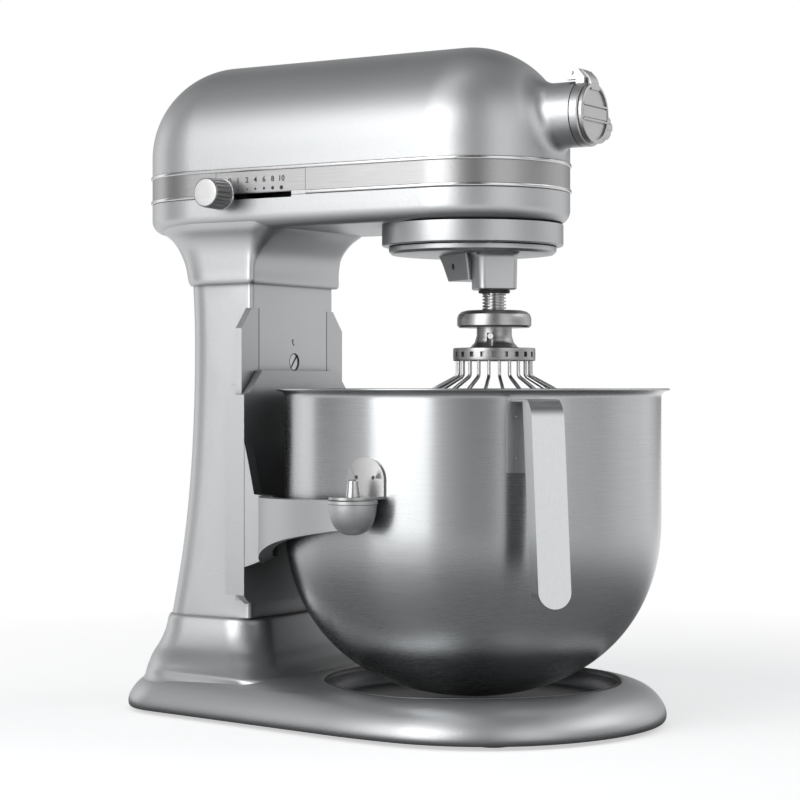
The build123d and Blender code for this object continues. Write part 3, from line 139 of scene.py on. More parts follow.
class Bench:
    """The node tree of one material or world, and the one method that adds nodes to it."""

    def __init__(self, owner: bpy.types.Material | bpy.types.World) -> None:
        """Empty the owner's node tree and work on it.

        Args:
            owner: the material or world.
        """
        self.owner = owner
        self.owner.use_nodes = True
        self.tree = owner.node_tree
        self.tree.nodes.clear()
        self._coords: Wire | None = None

    @staticmethod
    def material(name: str) -> "Bench":
        """Start an empty material of that name."""
        return Bench(bpy.data.materials.new(name))

    def node(self, kind: str, settings: dict | None = None, sockets: dict | None = None,
             out: int | str = 0) -> Wire:
        """Add a node.

        Args:
            kind: the node's type name.
            settings: attributes set first; "stops" fills a colour ramp with (position, colour).
            sockets: values or wires for the inputs, by name or number.
            out: which output to hand back.

        Returns:
            The chosen output as a Wire.
        """
        made = self.tree.nodes.new(kind)
        for key, value in (settings or {}).items():
            if key == "stops":
                ramp = made.color_ramp
                while len(ramp.elements) < len(value):
                    ramp.elements.new(1.0)
                for element, (place, colour) in zip(ramp.elements, value):
                    element.position = place
                    element.color = (*colour, 1.0) if len(colour) == 3 else colour
            else:
                setattr(made, key, value)
        for key, value in (sockets or {}).items():
            if isinstance(value, Wire):
                self.tree.links.new(value.socket, made.inputs[key])
            else:
                made.inputs[key].default_value = value
        return Wire(self, made.outputs[out])

    @property
    def coords(self) -> Wire:
        """Object coordinates, in metres."""
        if self._coords is None:
            self._coords = self.node("ShaderNodeTexCoord", {}, {}, "Object")
        return self._coords

    def stretched(self, scale: Sequence[float]) -> Wire:
        """Object coordinates with each axis multiplied."""
        return self.node("ShaderNodeMapping", {"vector_type": "POINT"},
                         {"Vector": self.coords, "Scale": tuple(scale)})

    def noise(self, scale: float, detail: float = 3.0, roughness: float = 0.5,
              vector: Wire | None = None) -> Wire:
        """Fractal noise from zero to one."""
        return self.node("ShaderNodeTexNoise", {},
                         {"Vector": vector or self.coords, "Scale": scale, "Detail": detail,
                          "Roughness": roughness})

    def axes(self) -> tuple[Wire, Wire, Wire]:
        """The three object coordinates apart."""
        return tuple(self.node("ShaderNodeSeparateXYZ", {}, {"Vector": self.coords}, i) for i in range(3))

    def ray(self, kind: str) -> Wire:
        """One for the rays of a kind, else zero: Light Path's output of that name."""
        return self.node("ShaderNodeLightPath", {}, {}, f"Is {kind} Ray")

    def blend(self, factor: "Wire | float", a: "Wire | Colour", b: "Wire | Colour", way: str = "MIX") -> Wire:
        """Mix two colours.

        Args:
            factor: share of the second colour.
            a: first colour.
            b: second colour.
            way: the Mix node's blend type.

        Returns:
            The mixed colour.
        """
        sockets = {0: factor}
        for number, colour in ((6, a), (7, b)):
            sockets[number] = colour if isinstance(colour, Wire) else (*colour, 1.0)
        return self.node("ShaderNodeMix", {"data_type": "RGBA", "blend_type": way}, sockets, 2)

    def bump(self, height: Wire, distance: float, strength: float = 1.0) -> Wire:
        """Surface normal tilted by a height."""
        return self.node("ShaderNodeBump", {}, {"Height": height, "Distance": distance, "Strength": strength})

    def finish(self, **sockets: object) -> bpy.types.Material:
        """Close the material with one Principled shader.

        Args:
            sockets: values or wires, with underscores for the spaces in socket names.

        Returns:
            The finished material.
        """
        named = {key.replace("_", " "): value for key, value in sockets.items()}
        self.show(self.node("ShaderNodeBsdfPrincipled", {}, named))
        return self.owner

    def show(self, shader: Wire) -> None:
        """Link a shader to the output of the material or world.

        Args:
            shader: the shader's output.
        """
        kind = "World" if isinstance(self.owner, bpy.types.World) else "Material"
        output = self.tree.nodes.new(f"ShaderNodeOutput{kind}")
        self.tree.links.new(shader.socket, output.inputs["Surface"])


# ---- finishes ----------------------------------------------------------------------------
def grey(level: float) -> Colour:
    """Grey of a level."""
    return (level, level, level)


def shade(colour: Colour, factor: float, lift: float = 0.0) -> Colour:
    """Colour times a factor plus a lift, held at one."""
    return tuple(min(part * factor + lift, 1.0) for part in colour)


@dataclass(frozen=True)
class CastPaint:
    """Satin metallic grey paint over a casting: fine flakes, faint orange peel and painted shade in creases,
    corners and under other parts.
    """

    name: str = "cast_paint"
    tone: float = 0.56
    metal: float = 0.84
    rough: float = 0.39
    peel: float = 0.00008
    dull: Colour = (0.70, 0.72, 0.74)
    bright: Colour = (1.255, 1.275, 1.29)
    # colour of the painted shade laid into creases, corners and under parts, and the reach of the occlusion
    # that places it, in metres
    painted_shade: Colour = (0.22, 0.225, 0.235)
    painted_shade_reach: float = 0.06

    def build(self) -> bpy.types.Material:
        """Make the material.

        Returns:
            The material.
        """
        bench = Bench.material(self.name)
        flakes = bench.noise(2600.0, 2.0, 0.6)
        cloud = bench.noise(9.0, 4.0, 0.55)
        peel = bench.noise(520.0, 2.0, 0.5)
        light = (cloud * 0.10 + flakes * 0.16 - 0.13 + 0.5).clamp()
        paint = bench.blend(light, shade(self.dull, self.tone), shade(self.bright, self.tone))
        # painted shade: an ambient occlusion node darkens the paint towards the shade colour in creases,
        # corners and under other parts
        crease_occlusion = bench.node("ShaderNodeAmbientOcclusion", {"samples": 6}, {"Distance": self.painted_shade_reach}, "AO")
        colour = bench.blend((crease_occlusion * 1.9 - 0.45).clamp(), shade(self.painted_shade, self.tone), paint)
        rough = (flakes * 0.10 + cloud * 0.06 + (self.rough - 0.08)).clamp()
        bumps = bench.bump(peel * 0.7 + flakes * 0.3, self.peel)
        return bench.finish(Base_Color=colour, Metallic=self.metal, Roughness=rough, Normal=bumps,
                            Coat_Weight=0.12, Coat_Roughness=0.28)


class Grain(Enum):
    """Which way the brush lines of a metal run."""

    ROUND = (1.0, 1.0, 60.0)
    ALONG_X = (1.0, 60.0, 60.0)
    ALONG_Y = (60.0, 1.0, 60.0)
    ALONG_Z = (60.0, 60.0, 1.0)
    NONE = (8.0, 8.0, 8.0)


@dataclass(frozen=True)
class BrushedMetal:
    """Brushed or polished metal: lines along one way, faint smudges, tone in the grooves."""

    name: str
    colour: Colour = (0.60, 0.60, 0.605)
    rough: float = 0.26
    grain: Grain = Grain.NONE
    lines: float = 0.08
    depth: float = 0.000012
    contrast: float = 0.16
    streak: float = 0.0

    def build(self) -> bpy.types.Material:
        """Make the material.

        Returns:
            The material.
        """
        bench = Bench.material(self.name)
        fine = bench.noise(38.0, 6.0, 0.7, bench.stretched(self.grain.value))
        smudge = bench.noise(14.0, 3.0, 0.5)
        colour = bench.blend((fine * 1.6 - 0.3).clamp(), shade(self.colour, 1 - self.contrast),
                             shade(self.colour, 1 + self.contrast))
        rough = (fine * self.lines + smudge * 0.08 + (self.rough - 0.06)).clamp()
        return bench.finish(Base_Color=colour, Metallic=1.0, Roughness=rough, Anisotropic=self.streak,
                            Anisotropic_Rotation=QUARTER_TURN, Normal=bench.bump(fine, self.depth))


@dataclass(frozen=True)
class Moulded:
    """Moulded plastic or rubber with a fine skin texture and a little dust in it."""

    name: str
    colour: Colour
    rough: float = 0.45
    skin: float = 0.00003

    def build(self) -> bpy.types.Material:
        """Make the material.

        Returns:
            The material.
        """
        bench = Bench.material(self.name)
        skin = bench.noise(1800.0, 2.0)
        cloud = bench.noise(30.0, 3.0)
        colour = bench.blend(cloud, shade(self.colour, 0.85), shade(self.colour, 1.2, 0.004))
        rough = (skin * 0.12 + cloud * 0.08 + (self.rough - 0.1)).clamp()
        return bench.finish(Base_Color=colour, Roughness=rough, Normal=bench.bump(skin, self.skin))


class Finishes:
    """Every finish of the mixer, each made once and kept by its name."""

    def __init__(self) -> None:
        """Build the materials."""
        wanted = [
            CastPaint(),
            CastPaint("carriage_paint", 0.52, 0.80, 0.42, 0.00008),
            CastPaint("planet_alloy", 0.52, 0.85, 0.38, 0.00005),
            CastPaint("rail_metal", 0.52, 0.85, 0.40, 0.00004),
            BrushedMetal("bowl_steel", (0.475, 0.487, 0.495), 0.26, Grain.ROUND, 0.08, 0.000008, 0.10, 0.8),
            BrushedMetal("handle_steel", (0.605, 0.615, 0.622), 0.27, Grain.ALONG_Z, 0.10, 0.00001, 0.12),
            BrushedMetal("bracket_steel", (0.42, 0.42, 0.42), 0.30, Grain.ALONG_X, 0.10, 0.00001, 0.12),
            BrushedMetal("bright_trim", (0.64, 0.64, 0.645), 0.18, Grain.NONE, 0.05, 0.000004, 0.06),
            BrushedMetal("scale_metal", (0.38, 0.38, 0.385), 0.30, Grain.ALONG_Y, 0.12, 0.00001, 0.18),
            BrushedMetal("knob_face", (0.56, 0.56, 0.565), 0.36, Grain.ALONG_Y, 0.12, 0.00001, 0.10),
            BrushedMetal("knob_rim", (0.36, 0.36, 0.365), 0.38, Grain.ALONG_X, 0.12, 0.00002, 0.25),
            BrushedMetal("cover_metal", (0.49, 0.49, 0.495), 0.32, Grain.ALONG_X, 0.10, 0.00001, 0.12),
            BrushedMetal("zinc_steel", (0.56, 0.56, 0.57), 0.30, Grain.NONE, 0.10, 0.00001, 0.15),
            BrushedMetal("machined", (0.40, 0.40, 0.41), 0.25, Grain.ROUND, 0.10, 0.00001, 0.2),
            BrushedMetal("whisk_alloy", (0.40, 0.40, 0.405), 0.28, Grain.ROUND, 0.12, 0.00003, 0.3),
            BrushedMetal("wire_steel", (0.50, 0.50, 0.51), 0.20, Grain.NONE, 0.05, 0.000004, 0.06),
            BrushedMetal("copper", (0.60, 0.30, 0.16), 0.35, Grain.ROUND, 0.10, 0.00004, 0.3),
            Moulded("rubber", (0.030, 0.030, 0.032), 0.62, 0.00008),
            Moulded("dark_plastic", (0.035, 0.035, 0.038), 0.42),
            Moulded("knob_plastic", (0.040, 0.040, 0.044), 0.36),
            Moulded("board", (0.03, 0.16, 0.07), 0.4),
            Moulded("print_ink", (0.012, 0.012, 0.013), 0.5, 0.00001),
        ]
        self.made = {finish.name: finish.build() for finish in wanted}

    def put(self, piece: bpy.types.Object, name: str) -> None:
        """Give a piece one of the finishes as its only material."""
        piece.data.materials.clear()
        piece.data.materials.append(self.made[name])


# ---- meshes ------------------------------------------------------------------------------
class Edge(Enum):
    """Which edges of a piece stay sharp: those that bend by more than this angle in degrees."""

    SOFT = 179.0
    CAST = 42.0
    TURNED = 30.0


def quads(rows: int, cols: int, loop: bool, first: int) -> Array:
    """Corner numbers of every quad of a grid.

    Args:
        rows: rows of points.
        cols: points in each row.
        loop: True if each row closes on itself.
        first: number of the grid's first point.

    Returns:
        An (n, 4) array.
    """
    r, c = np.meshgrid(np.arange(rows - 1), np.arange(cols if loop else cols - 1), indexing="ij")
    n = (c + 1) % cols
    corners = [r * cols + c, r * cols + n, (r + 1) * cols + n, (r + 1) * cols + c]
    return np.stack(corners, -1).reshape(-1, 4) + first


def read(items: bpy.types.bpy_prop_collection, what: str, kind: type) -> Array:
    """Read a three-part attribute of every vertex or triangle.

    Args:
        items: the vertices or triangles of a mesh.
        what: name of the attribute.
        kind: type of its numbers.

    Returns:
        (n, 3) rows.
    """
    flat = np.empty(len(items) * 3, kind)
    items.foreach_get(what, flat)
    return flat.reshape(-1, 3)


class Form:
    """Grids of points, in millimetres, welded into one mesh."""

    def __init__(self, name: str) -> None:
        """Start an empty form.

        Args:
            name: name of the piece that it becomes.
        """
        self.name = name
        self.points: list[Array] = []
        self.faces: list[Array] = []
        self.count = 0

    def patch(self, grid: Array, loop: bool = False, keep: Array | None = None) -> "Form":
        """Add one grid.

        Args:
            grid: (rows, columns, 3) points.
            loop: True if each row closes on itself.
            keep: which quads stay, one flag for each.

        Returns:
            The form itself.
        """
        rows, cols = grid.shape[:2]
        faces = quads(rows, cols, loop, self.count)
        self.faces.append(faces if keep is None else faces[keep.reshape(-1)])
        self.points.append(grid.reshape(-1, 3))
        self.count += rows * cols
        return self

    def node(self, name: str, keep: Array | None = None) -> "Form":
        """Add the triangles of a built node.

        Args:
            name: name of the node.
            keep: which triangles stay, one flag for each.

        Returns:
            The form itself.
        """
        data = frame["nodes"][name].data
        corners = read(data.polygons, "vertices", np.int32) + self.count
        self.faces.append(corners if keep is None else corners[keep])
        self.points.append(read(data.vertices, "co", np.float32).astype(float) / MM)
        self.count += len(data.vertices)
        return self

    def build(self, edge: Edge = Edge.TURNED, weld: float = 2e-6, closed: bool = True) -> bpy.types.Object:
        """Weld the grids into an object, turn its faces out, shade it and put it in the scene.

        Args:
            edge: which edges stay sharp.
            weld: distance under which points become one, in metres.
            closed: True if the faces are turned outwards by the mesh's own volume.

        Returns:
            The object, at the origin.
        """
        mesh = bpy.data.meshes.new(self.name)
        mesh.from_pydata((np.concatenate(self.points) * MM).tolist(), [], np.concatenate(self.faces).tolist())
        work = bmesh.new()
        work.from_mesh(mesh)
        bmesh.ops.remove_doubles(work, verts=work.verts, dist=weld)
        bmesh.ops.dissolve_degenerate(work, edges=work.edges, dist=weld / 2)
        if closed:
            bmesh.ops.recalc_face_normals(work, faces=work.faces)
        work.to_mesh(mesh)
        work.free()
        mesh.shade_smooth()
        if edge is not Edge.SOFT:
            mesh.set_sharp_from_angle(angle=math.radians(edge.value))
        piece = bpy.data.objects.new(self.name, mesh)
        bpy.context.scene.collection.objects.link(piece)
        return piece


def copied(name: str, nodes: Sequence[str], edge: Edge = Edge.TURNED, bevel: float = 0.0) -> bpy.types.Object:
    """Copy built nodes into one welded piece that stands for them.

    Args:
        name: name of the piece.
        nodes: the nodes that it replaces.
        edge: which edges stay sharp.
        bevel: width of a live edge rounding in millimetres, or zero.

    Returns:
        The piece.
    """
    form = Form(name)
    for node in nodes:
        form.node(node)
    piece = form.build(edge, NODE_WELD)
    if bevel:
        soften(piece, bevel)
    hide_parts(*nodes)
    return piece


def soften(piece: bpy.types.Object, width: float, angle: float = 32.0) -> None:
    """Round a piece's sharp edges with a live bevel.

    Args:
        piece: the piece.
        width: width of the rounding in millimetres.
        angle: bend in degrees above which an edge is rounded.
    """
    live = piece.modifiers.new("rounded_edges", "BEVEL")
    live.width = width * MM
    live.segments = 3
    live.limit_method = "ANGLE"
    live.angle_limit = math.radians(angle)
    live.harden_normals = True


def arc(start: float, stop: float, count: int) -> Array:
    """Angles from start to stop in degrees, as radians."""
    return np.radians(np.linspace(start, stop, count))


def lathe(profile: Array, around: int = 128, centre: Sequence[float] = (0.0, 0.0)) -> Array:
    """Grid of a turned shape.

    The profile's radius is carried round the upright axis: (x, y) = centre + r(cos a, sin a).

    Args:
        profile: (n, 2) points of radius and height.
        around: points round the axis.
        centre: place of the axis.

    Returns:
        (n, around, 3) points whose rows are loops.
    """
    a = np.arange(around) * 2 * math.pi / around
    r, z = profile[:, :1], profile[:, 1:]
    return np.stack([centre[0] + r * np.cos(a), centre[1] + r * np.sin(a), z + 0 * a], -1)


def facing(grid: Array, axis: Sequence[float], up: Sequence[float], origin: Sequence[float]) -> Array:
    """Turn a grid made round +Z so that +Z points along an axis, and move it to an origin.

    Args:
        grid: points, with x, y and z last.
        axis: where +Z goes.
        up: where +Y goes.
        origin: where the grid's own origin goes.

    Returns:
        The points turned and moved.
    """
    z, y = np.asarray(axis, float), np.asarray(up, float)
    return grid @ np.stack([np.cross(y, z), y, z]) + np.asarray(origin, float)


def tube(path: Array, radius: float, side: Array, sides: int = 10) -> Array:
    """Grid of a round wire along a path.

    At each point the ring is path + r(cos a n + sin a b), where b is a fixed side direction and
    n is square to both b and the path.

    Args:
        path: (n, 3) points.
        radius: wire radius.
        side: the direction b, square to a flat path's plane.
        sides: points round the wire.

    Returns:
        (n, sides, 3) points whose rows are loops.
    """
    along = np.gradient(path, axis=0)
    along /= np.linalg.norm(along, axis=1, keepdims=True)
    n = np.cross(side, along)
    n /= np.linalg.norm(n, axis=1, keepdims=True)
    b = np.cross(along, n)
    a = np.arange(sides) * 2 * math.pi / sides
    cos, sin = np.cos(a)[None, :, None], np.sin(a)[None, :, None]
    return path[:, None] + radius * (cos * n[:, None] + sin * b[:, None])


def capped(grid: Array) -> Array:
    """Close both ends of a tube's grid with a row drawn in to the end's middle."""
    first, last = (np.broadcast_to(grid[i].mean(0), grid[i].shape)[None] for i in (0, -1))
    return np.concatenate([first, grid, last])


def through(points: Array, count: int) -> Array:
    """Smooth curve through points.

    A natural cubic spline over the length of the steps: cubic pieces whose slope and bend run on
    unbroken from one to the next, with no bend at either end.

    Args:
        points: (n, d) points.
        count: points of the curve.

    Returns:
        (count, d) points, evenly spaced along the way.
    """
    step = np.linalg.norm(np.diff(points, axis=0), axis=1)
    s = np.concatenate([[0], np.cumsum(step)])
    n = len(points)
    matrix, right = np.zeros((n, n)), np.zeros_like(points)
    inner = np.arange(1, n - 1)
    matrix[inner, inner - 1], matrix[inner, inner + 1] = step[1:], step[:-1]
    matrix[inner, inner] = 2 * (step[:-1] + step[1:])
    rise = np.diff(points, axis=0) / step[:, None]
    right[1:-1] = 3 * (step[1:, None] * rise[:-1] + step[:-1, None] * rise[1:])
    matrix[0, :2], matrix[-1, -2:] = (2, 1), (1, 2)
    right[0], right[-1] = 3 * rise[0], 3 * rise[-1]
    slope = np.linalg.solve(matrix, right)
    t = np.linspace(0, s[-1], count)
    i = np.clip(np.searchsorted(s, t, side="right") - 1, 0, len(step) - 1)
    h = step[i][:, None]
    u = ((t - s[i])[:, None]) / h
    start = (2 * u**3 - 3 * u**2 + 1) * points[i] + (u**3 - 2 * u**2 + u) * slope[i] * h
    return start + (3 * u**2 - 2 * u**3) * points[i + 1] + (u**3 - u**2) * slope[i + 1] * h


def rounded_loop(corners: Array, radii: Sequence[float], per_side: int = 10, per_corner: int = 12) -> Array:
    """Closed outline with rounded corners.

    Each corner is an arc that touches its two sides at r / tan(half the corner's angle).

    Args:
        corners: (n, 2) corner points, anticlockwise.
        radii: radius of each corner.
        per_side: points on each straight side.
        per_corner: points on each corner.

    Returns:
        (n (per_side + per_corner), 2) points.
    """
    before, after = np.roll(corners, 1, axis=0), np.roll(corners, -1, axis=0)
    u, v = before - corners, after - corners
    u /= np.linalg.norm(u, axis=1, keepdims=True)
    v /= np.linalg.norm(v, axis=1, keepdims=True)
    r = np.asarray(radii, float)[:, None]
    half = np.arccos(np.clip((u * v).sum(1), -1, 1))[:, None] / 2
    reach = r / np.tan(half)
    mid = (u + v) / np.linalg.norm(u + v, axis=1, keepdims=True)
    centre = corners + mid * r / np.sin(half)
    start, stop = corners + u * reach, corners + v * reach
    t = np.linspace(0, 1, per_corner)[None, :, None]
    a, b = (start - centre)[:, None], (stop - centre)[:, None]
    sweep = (math.pi - 2 * half)[:, :, None]
    bend = centre[:, None] + (np.sin((1 - t) * sweep) * a + np.sin(t * sweep) * b) / np.sin(sweep)
    far = np.roll(start, -1, axis=0)
    w = (np.arange(per_side) + 1)[None, :, None] / (per_side + 1)
    side = stop[:, None] * (1 - w) + far[:, None] * w
    return np.concatenate([bend, side], axis=1).reshape(-1, 2)


def stacked(table: Sequence[Sequence[float]], per_side: int, per_corner: int) -> Array:
    """Rounded four-sided outlines stacked upwards.

    Args:
        table: rows of height, front half width, front place, rear half width, rear place, and the
            radii of the front and the rear corners.
        per_side: points on each straight side.
        per_corner: points on each corner.

    Returns:
        Grid of points whose rows are loops.
    """
    rings = []
    for z, front, front_y, rear, rear_y, front_r, rear_r in table:
        corners = np.array([(-front, front_y), (front, front_y), (rear, rear_y), (-rear, rear_y)], float)
        loop = rounded_loop(corners, (front_r, front_r, rear_r, rear_r), per_side, per_corner)
        rings.append(np.column_stack([loop, np.full(len(loop), z)]))
    return np.stack(rings)


def dress(piece: bpy.types.Object, finishes: Finishes, finish: str, body: str) -> None:
    """Give a piece its finish, its body and its material slot, and report it.

    Args:
        piece: the piece.
        finishes: every finish of the mixer.
        finish: name of the finish.
        body: name of the body that carries the piece.
    """
    finishes.put(piece, finish)
    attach(piece, body)
    LOG.info("%s: %s on %s", piece.name, finish, body)


@dataclass(frozen=True)
class Fitting:
    """A piece that keeps the shape of its node: finish, body, slot (not used) and edge rounding in
    millimetres.
    """

    name: str
    node: str
    finish: str
    body: str
    slot: str = ""
    bevel: float = 0.0

    def build(self, finishes: Finishes) -> None:
        """Copy the node and dress the copy."""
        dress(copied(self.name, [self.node], bevel=self.bevel), finishes, self.finish, self.body)


# ---- head --------------------------------------------------------------------------------
@dataclass(frozen=True)
class HeadPlan:
    """Plan of the head: two half circles joined by straight sides."""

    length: float = 175.0
    slot: Pair = (95.8, 147.2)
    scale: Pair = (85.0, 154.0)

    def columns(self) -> tuple[Array, Array]:
        """Points of the centre line and outward directions, once round the plan.

        Returns:
            Two (n, 2) arrays: centre-line points and unit directions.
        """
        right = np.linspace(0, self.length, 44)
        cuts = np.array([v + d for v in (*self.slot, *self.scale) for d in (-0.01, 0.01)])
        left = np.unique(np.concatenate([np.linspace(0, self.length, 60), cuts]))[::-1]
        tail, nose = arc(0, 180, 73), arc(180, 360, 97)
        zero = np.zeros_like
        centre = np.concatenate([
            np.stack([zero(right), right], 1), np.stack([zero(tail), zero(tail) + self.length], 1),
            np.stack([zero(left), left], 1), np.stack([zero(nose), zero(nose)], 1)])
        out = np.concatenate([
            np.stack([zero(right) + 1, zero(right)], 1), np.stack([np.cos(tail), np.sin(tail)], 1),
            np.stack([zero(left) - 1, zero(left)], 1), np.stack([np.cos(nose), np.sin(nose)], 1)])
        return centre, out

    def carry(self, profile: Array) -> Array:
        """Carry a profile round the plan: point = centre + radius * out, at the row's height.

        Args:
            profile: (n, 2) rows of radius and height.

        Returns:
            (n, columns, 3) points whose rows are loops.
        """
        centre, out = self.columns()
        r, z = profile[:, 0][:, None, None], profile[:, 1][:, None]
        flat = centre[None] + r * out[None]
        return np.concatenate([flat, np.broadcast_to(z[..., None], (*flat.shape[:2], 1))], -1)

    def left_between(self, low: float, high: float) -> Array:
        """True for the columns of the left side between two places along the head."""
        centre, out = self.columns()
        return (out[:, 0] < -0.999) & (centre[:, 1] > low) & (centre[:, 1] < high)


@dataclass(frozen=True)
class UpperCasing:
    """Top shell of the head with the hub barrel growing out of its nose."""

    plan: HeadPlan = HeadPlan()
    radius: float = 61.0
    middle_z: float = 360.0
    foot_z: float = 348.0
    wall: float = 3.5
    hub_z: float = 375.0
    barrel_r: float = 20.0
    barrel_y: float = -77.0
    socket_r: float = 16.4
    socket_y: float = -38.0
    drive_r: float = 11.05
    drive_y: float = -30.0
    flare: float = 9.0
    flare_pull: float = 0.85
    rim_gap: float = 0.3
    foot_rows: tuple[float, ...] = (348.0, 352.0, 356.0)
    lip: float = 6.0
    boss: tuple[Pair, ...] = ((0, -6.0), (6.0, -6.0), (6.0, 2.6), (5.6, 3.4), (4.9, 3.7), (0, 3.7))
    boss_at: tuple[float, float, float] = (17.8, -70.4, 370.0)

    def skin_y(self, x: Array, z: Array) -> Array:
        """Depth of the nose seen from the front: y = -sqrt(R^2 - x^2 - max(z - middle, 0)^2)."""
        rise = np.maximum(z - self.middle_z, 0)
        return -np.sqrt(np.maximum(self.radius**2 - x**2 - rise**2, 0))

    def nose(self, arch: Array) -> Array:
        """Nose and barrel, on rays that spread from the hub's axis.

        Along each ray the rows run from the socket's back, out over the barrel, round a flare
        (a quadratic Bezier curve that touches the barrel and the nose) and over the nose to the
        rim; the last rows are spaced by the sine of the way so that they crowd at the rim.

        Args:
            arch: (n, 2) outline x and z of the shell where the nose meets the straight part.

        Returns:
            Grid of points, rows from the hub outwards.
        """
        under = arc(180, 360, 97)[1:-1]
        rim_x = np.concatenate([arch[:, 0], self.radius * np.cos(under)])
        rim_z = np.concatenate([arch[:, 1], np.full(under.shape, self.foot_z)])
        rim = np.hypot(rim_x, rim_z - self.hub_z)
        dx, dz = rim_x / rim, (rim_z - self.hub_z) / rim
        edge = np.minimum(self.barrel_r + self.flare, rim - self.rim_gap)

        def depth(rho: Array) -> Array:
            """Depth of the nose at a distance along each ray."""
            return self.skin_y(rho * dx, self.hub_z + rho * dz)

        slope = (depth(edge) - depth(edge - 0.05)) / 0.05
        end_y = depth(edge)
        turn_y = end_y - slope * (edge - self.barrel_r)
        start_y = turn_y - self.flare_pull * self.flare
        one = np.ones_like(rim)
        bore = ((self.drive_r, self.drive_y), (self.drive_r, self.socket_y), (self.socket_r, self.socket_y),
                (self.socket_r, self.barrel_y), (self.barrel_r, self.barrel_y))
        rows = [(r * one, y * one) for r, y in bore]
        for t in np.linspace(0.04, 1, 6):
            rows.append((self.barrel_r * one, self.barrel_y * (1 - t) + start_y * t))
        for t in np.linspace(0, 1, 14)[1:]:
            rows.append(((1 - t)**2 * self.barrel_r + 2 * t * (1 - t) * self.barrel_r + t**2 * edge,
                         (1 - t)**2 * start_y + 2 * t * (1 - t) * turn_y + t**2 * end_y))
        for t in np.sin(arc(0, 90, 40))[1:]:
            rho = edge + (rim - edge) * t
            rows.append((rho, depth(rho)))
        rho = np.stack([row[0] for row in rows])
        y = np.stack([row[1] for row in rows])
        return np.stack([rho * dx, y, self.hub_z + rho * dz], -1)

    def build(self, finishes: Finishes) -> None:
        """Make the shell: nose, straight part, tail, the turned-in foot and the clamp screw's boss.

        Args:
            finishes: every finish of the mixer.
        """
        lift = arc(0, 90, 34)
        r = np.concatenate([np.full(len(self.foot_rows), self.radius), self.radius * np.cos(lift)])
        z = np.concatenate([self.foot_rows, self.middle_z + self.radius * np.sin(lift)])
        r[-1] = 0.0
        arch = np.concatenate([np.stack([r, z], 1), np.stack([-r, z], 1)[::-1][1:]])
        y = np.linspace(0, self.plan.length, 44)
        straight = np.stack(np.broadcast_arrays(arch[None, :, 0], y[:, None], arch[None, :, 1]), -1)
        a = arc(0, 180, 73)
        across, back = r[:, None] * np.cos(a), self.plan.length + r[:, None] * np.sin(a)
        tail = np.stack([across, back, z[:, None] + 0 * a], -1)
        inner, foot = self.radius - self.wall, self.foot_z
        lip = self.plan.carry(np.array([(self.radius, foot), (inner, foot), (inner, foot + self.lip)]))
        form = Form("upper_shell")
        form.patch(self.nose(arch), loop=True).patch(straight).patch(tail).patch(lip, loop=True)
        boss = lathe(np.array(self.boss), 48)
        form.patch(facing(boss, (1, 0, 0), (0, 0, 1), self.boss_at), loop=True)
        shell = form.build(Edge.TURNED)
        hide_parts("upper_casing")
        dress(shell, finishes, "cast_paint", "stand")


